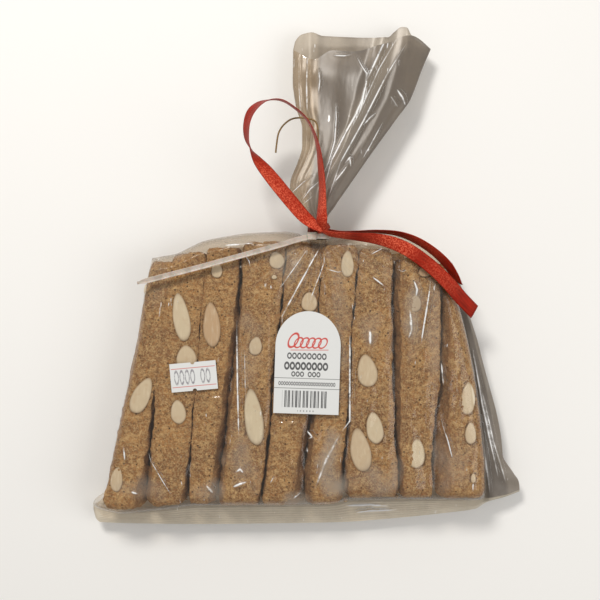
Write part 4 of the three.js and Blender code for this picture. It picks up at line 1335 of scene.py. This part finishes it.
def make_tie(material):
    """Cable tie's band round the neck, and its head with the slot."""
    bm = ring(TIE_THICK * 0.9, TIE_Y - TIE_WIDTH / 2, TIE_Y + TIE_WIDTH / 2, 72)
    head = bmesh.ops.create_cube(bm, size=1)["verts"]
    bmesh.ops.scale(bm, vec=TIE_HEAD_SIZE, verts=head)
    bmesh.ops.translate(bm, vec=TIE_HEAD, verts=head)
    top = [f for f in bm.faces if all(v in head for v in f.verts) and f.normal.z > 0.9]
    bmesh.ops.inset_region(bm, faces=top, thickness=SLOT_RIM, depth=0)
    bmesh.ops.translate(bm, vec=(0, 0, -SLOT_DEPTH), verts=[v for f in top for v in f.verts])
    bmesh.ops.recalc_face_normals(bm, faces=bm.faces)
    sharp = [e for e in bm.edges if len(e.link_faces) == 2 and e.calc_face_angle(0) > 0.6]
    bmesh.ops.bevel(bm, geom=sharp, offset=TIE_BEVEL, affect="EDGES", segments=2, profile=0.5,
                    material=-1)
    finished("cable_tie_nylon", bm, material, "cable_tie", False)


def make_tie_tail(material):
    """Cable tie's long tail, with a rib along each edge and teeth between them."""
    bm = sheet(TIE_ACROSS, TIE_STEPS)
    line = route(TIE_TAIL, TIE_STEPS)
    for v in bm.verts:
        side, t = 2 * v.co.x - 1, v.co.y
        k = min(round(t * TIE_STEPS), TIE_STEPS)
        centre, along, _ = line[k]
        across = level_across(along)
        normal = across.cross(along)
        width = TIE_WIDTH / 2 * float(at(TIE_TIP, t))
        ridge = 0.12 * max(0, 1 - abs(abs(side) - 0.85) / 0.3)
        tooth = 0.1 * (k % 3 == 0) if abs(side) < 0.5 else 0
        v.co = centre + across * side * width + normal * (TIE_THICK / 2 - 0.12 + ridge - tooth)
    piece = finished("cable_tie_tail", bm, material, "cable_tie", False)
    walled(piece, TIE_THICK - 0.2, -1)


# --- Stage -----------------------------------------------------------------------------------

def make_camera(stage):
    """Camera that looks straight down on the pack."""
    camera = bpy.data.cameras.new("camera")
    camera.lens, camera.sensor_width = stage.lens, 36
    camera.clip_start, camera.clip_end = 0.01, 20
    place = (*CAMERA_SPOT, stage.camera_height)
    bpy.context.scene.camera = placed("camera", camera, place)


def make_light(name, place, size, power, tint):
    """Soft panel of light that faces the pack."""
    light = bpy.data.lights.new(name, "AREA")
    light.shape, light.size, light.size_y = "RECTANGLE", *size
    light.energy, light.color = power, tint
    aim = Vector(LIGHT_TARGET) - Vector(place)
    placed(name, light, place).rotation_euler = aim.to_track_quat("-Z", "Y").to_euler()


def make_floor(stage):
    """Pale floor, a little under the pack."""
    bm = bmesh.new()
    bmesh.ops.create_grid(bm, x_segments=2, y_segments=2, size=3)
    mesh = bpy.data.meshes.new("floor")
    bm.to_mesh(mesh)
    bm.free()
    material, w, place = start_material("pale floor")
    tone = w.noise(place, 600, 2).blend(stage.floor, stage.floor * 0.985)
    sockets = {"Base Color": tone, "Roughness": 0.9, "Specular IOR Level": 0.1}
    mesh.materials.append(end_material(material, w.node("BsdfPrincipled", {}, sockets)))
    placed("floor", mesh, (0, 0, -FLOOR_GAP))


def make_world(stage):
    """Even light from all round."""
    world = bpy.data.worlds.new("studio")
    bpy.context.scene.world = world
    world.use_nodes = True
    back = world.node_tree.nodes["Background"]
    back.inputs["Color"].default_value = (1.0, 0.985, 0.96, 1)
    back.inputs["Strength"].default_value = stage.sky


# --- Settings --------------------------------------------------------------------------------

def colour(name, code, description):
    return FloatVectorProperty(name=name, description=description, subtype="COLOR", size=3,
                               min=0, max=1, default=rgb(code))


class BiscottiFilmSettings(bpy.types.PropertyGroup):
    """Finish of the clear film."""

    film_tint: colour("Tint", "f6f2ec", "Colour that light takes in passing one ply")
    film_doubled: colour("Doubled tint", "e9dfd0", "The same where the film is gathered")
    film_haze: colour("Haze", "b3a592", "Colour of slack and doubled film")
    film_seal: colour("Seal", "e8dcc6", "Colour of the sealed fin")
    # Dark tone of doubled film, and painted shade in its folds, the gusset and the sides.
    film_shade: colour("Shade", "5b5044", "Colour of the film's deeper folds")


class BiscottiCrumbSettings(bpy.types.PropertyGroup):
    """Colours of sticks, almonds and crumbs, and how many crumbs lie loose."""

    crumb: colour("Crumb", "b08350", "Baked crumb")
    crumb_low: colour("Darker crumb", "9a7147", "Browner patches of crumb")
    crumb_high: colour("Lighter crumb", "c79f6b", "Paler patches of crumb")
    # Also painted as shade towards the edges and ends of each cut face.
    crust_and_edge_shade: colour("Crust", "8d6643", "Baked sides and ends")
    # Painted shade in the crumb's holes.
    pore_shade: colour("Pores", "5a3c22", "Holes in the crumb")
    # Pale grains, also painted as a highlight on the crumb's crests and strands.
    fleck_and_highlight: colour("Flecks", "e3c592", "Small pale grains")
    almond: colour("Almond", "d9ceb6", "Cut face of an almond")
    almond_high: colour("Almond streaks", "ece3cf", "Pale streaks in an almond")
    almond_pink: colour("Toasted almond", "c4a684", "Toasted patches of an almond")
    almond_skin: colour("Almond skin", "8f7658", "Rim of an almond")
    crumbs: IntProperty(name="Loose crumbs", description="How many crumbs lie in the bag",
                        default=90, min=0, max=400)


class BiscottiTrimSettings(bpy.types.PropertyGroup):
    """Colours of papers, cable tie, ribbon and thread."""

    paper: colour("Paper", "dcdddc", "Label and sticker")
    ink: colour("Ink", "3a3a3c", "Dark print")
    stamp_ink: colour("Stamp ink", "77737a", "Stamped marks of the sticker")
    red_ink: colour("Red ink", "c8463c", "Red print")
    nylon: colour("Nylon", "bfb2a6", "Cable tie")
    nylon_low: colour("Darker nylon", "a79a8d", "Cloudy patches of the cable tie")
    ribbon: colour("Ribbon", "a92412", "Satin between its highlights")
    ribbon_low: colour("Darker ribbon", "7f1a0d", "Satin that faces away")
    ribbon_high: colour("Bright ribbon", "e2674a", "Satin where it catches the light")
    thread: colour("Thread", "97794a", "Loose thread")
    # Painted shade between the fibres.
    thread_shade: colour("Darker thread", "6b5330", "Thread between its fibres")


class BiscottiStageSettings(bpy.types.PropertyGroup):
    """Camera, light and floor."""

    lens: FloatProperty(name="Lens", description="Focal length", default=62.07, unit="CAMERA")
    camera_height: FloatProperty(name="Camera height", description="Above the floor",
                                 default=0.508, unit="LENGTH")
    sky: FloatProperty(name="Sky", description="Strength of the light from all round",
                       default=0.42, min=0)
    key_power: FloatProperty(name="Key light", description="Power of the main light",
                             default=5.2, unit="POWER")
    fill_power: FloatProperty(name="Fill light", description="Power of the second light",
                              default=1.8, unit="POWER")
    floor: colour("Floor", "f4f3f1", "Floor")


# --- Operators -------------------------------------------------------------------------------

class BISCOTTI_OT_stage(bpy.types.Operator):
    """Floor, light and camera"""

    bl_idname = "biscotti.stage"
    bl_label = "Stage"

    def execute(self, context):
        stage = context.scene.biscotti_stage
        make_camera(stage)
        make_world(stage)
        make_light("key", (-0.25, 0.5, 0.75), (0.24, 0.18), stage.key_power, (1, 0.97, 0.92))
        make_light("fill", (0.55, -0.15, 0.6), (0.5, 0.6), stage.fill_power, (1, 0.98, 0.95))
        make_floor(stage)
        context.scene.view_settings.view_transform = "Standard"
        return {"FINISHED"}


class BISCOTTI_OT_ribbon(bpy.types.Operator):
    """Satin ribbon: loop, two tails and the knot, with the loose thread"""

    bl_idname = "biscotti.ribbon"
    bl_label = "Ribbon and thread"

    def execute(self, context):
        trim = context.scene.biscotti_trim
        satin = satin_material(trim)
        make_ribbons(satin)
        make_knot(satin)
        make_thread(thread_material(trim))
        return {"FINISHED"}


class BISCOTTI_OT_cable_tie(bpy.types.Operator):
    """Cable tie round the neck"""

    bl_idname = "biscotti.cable_tie"
    bl_label = "Cable tie"

    def execute(self, context):
        nylon = nylon_material(context.scene.biscotti_trim)
        make_tie(nylon)
        make_tie_tail(nylon)
        return {"FINISHED"}


class BISCOTTI_OT_film(bpy.types.Operator):
    """Clear film: the filled body, and the gathered neck with its flare"""

    bl_idname = "biscotti.film"
    bl_label = "Film"

    def execute(self, context):
        look = context.scene.biscotti_film
        front = film_material(look, "clear film", look.film_tint, 0.55)
        doubled = film_material(look, "gathered film", look.film_doubled, 0.2)
        make_film_body(front, doubled)
        make_flare(doubled)
        return {"FINISHED"}


class BISCOTTI_OT_sticks(bpy.types.Operator):
    """Two layers of biscotti with their almonds and crumbs"""

    bl_idname = "biscotti.sticks"
    bl_label = "Biscotti"

    def execute(self, context):
        look = context.scene.biscotti_crumb
        crumb = crumb_material(look)
        for make_stick in (make_front_stick, make_rear_stick):
            for index in range(len(STICKS)):
                make_stick(index, crumb)
        make_almonds(almond_material(look))
        make_crumbs(crumb, look.crumbs, CRUMB_SEED)
        return {"FINISHED"}


class BISCOTTI_OT_papers(bpy.types.Operator):
    """Print on the label and the date sticker"""

    bl_idname = "biscotti.papers"
    bl_label = "Papers"

    def execute(self, context):
        trim = context.scene.biscotti_trim
        for node, material in (("label", label_material(trim)),
                               ("date_sticker", sticker_material(trim))):
            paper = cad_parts[node]
            paper.data.materials.clear()
            paper.data.materials.append(material)
        return {"FINISHED"}


STEPS = (
    BISCOTTI_OT_stage, BISCOTTI_OT_ribbon, BISCOTTI_OT_cable_tie, BISCOTTI_OT_film,
    BISCOTTI_OT_sticks, BISCOTTI_OT_papers,
)


class BISCOTTI_PT_panel(bpy.types.Panel):
    """Steps and settings of the pack of biscotti"""

    bl_idname = "BISCOTTI_PT_panel"
    bl_label = "Pack of biscotti"
    bl_space_type = "VIEW_3D"
    bl_region_type = "UI"
    bl_category = "Biscotti"

    def draw(self, context):
        for step in STEPS:
            self.layout.operator(step.bl_idname)
        for name in GROUPS:
            settings = getattr(context.scene, name)
            box = self.layout.box()
            for prop in type(settings).__annotations__:
                box.prop(settings, prop)


GROUPS = {
    "biscotti_film": BiscottiFilmSettings,
    "biscotti_crumb": BiscottiCrumbSettings,
    "biscotti_trim": BiscottiTrimSettings,
    "biscotti_stage": BiscottiStageSettings,
}
CLASSES = (*GROUPS.values(), *STEPS, BISCOTTI_PT_panel)


def register():
    for cls in CLASSES:
        bpy.utils.register_class(cls)
    for name, group in GROUPS.items():
        setattr(bpy.types.Scene, name, PointerProperty(type=group))


def unregister():
    for name in GROUPS:
        delattr(bpy.types.Scene, name)
    for cls in reversed(CLASSES):
        bpy.utils.unregister_class(cls)


def main():
    register()
    for step in STEPS:
        group, name = step.bl_idname.split(".")
        getattr(getattr(bpy.ops, group), name)()


if __name__ == "__main__":
    main()
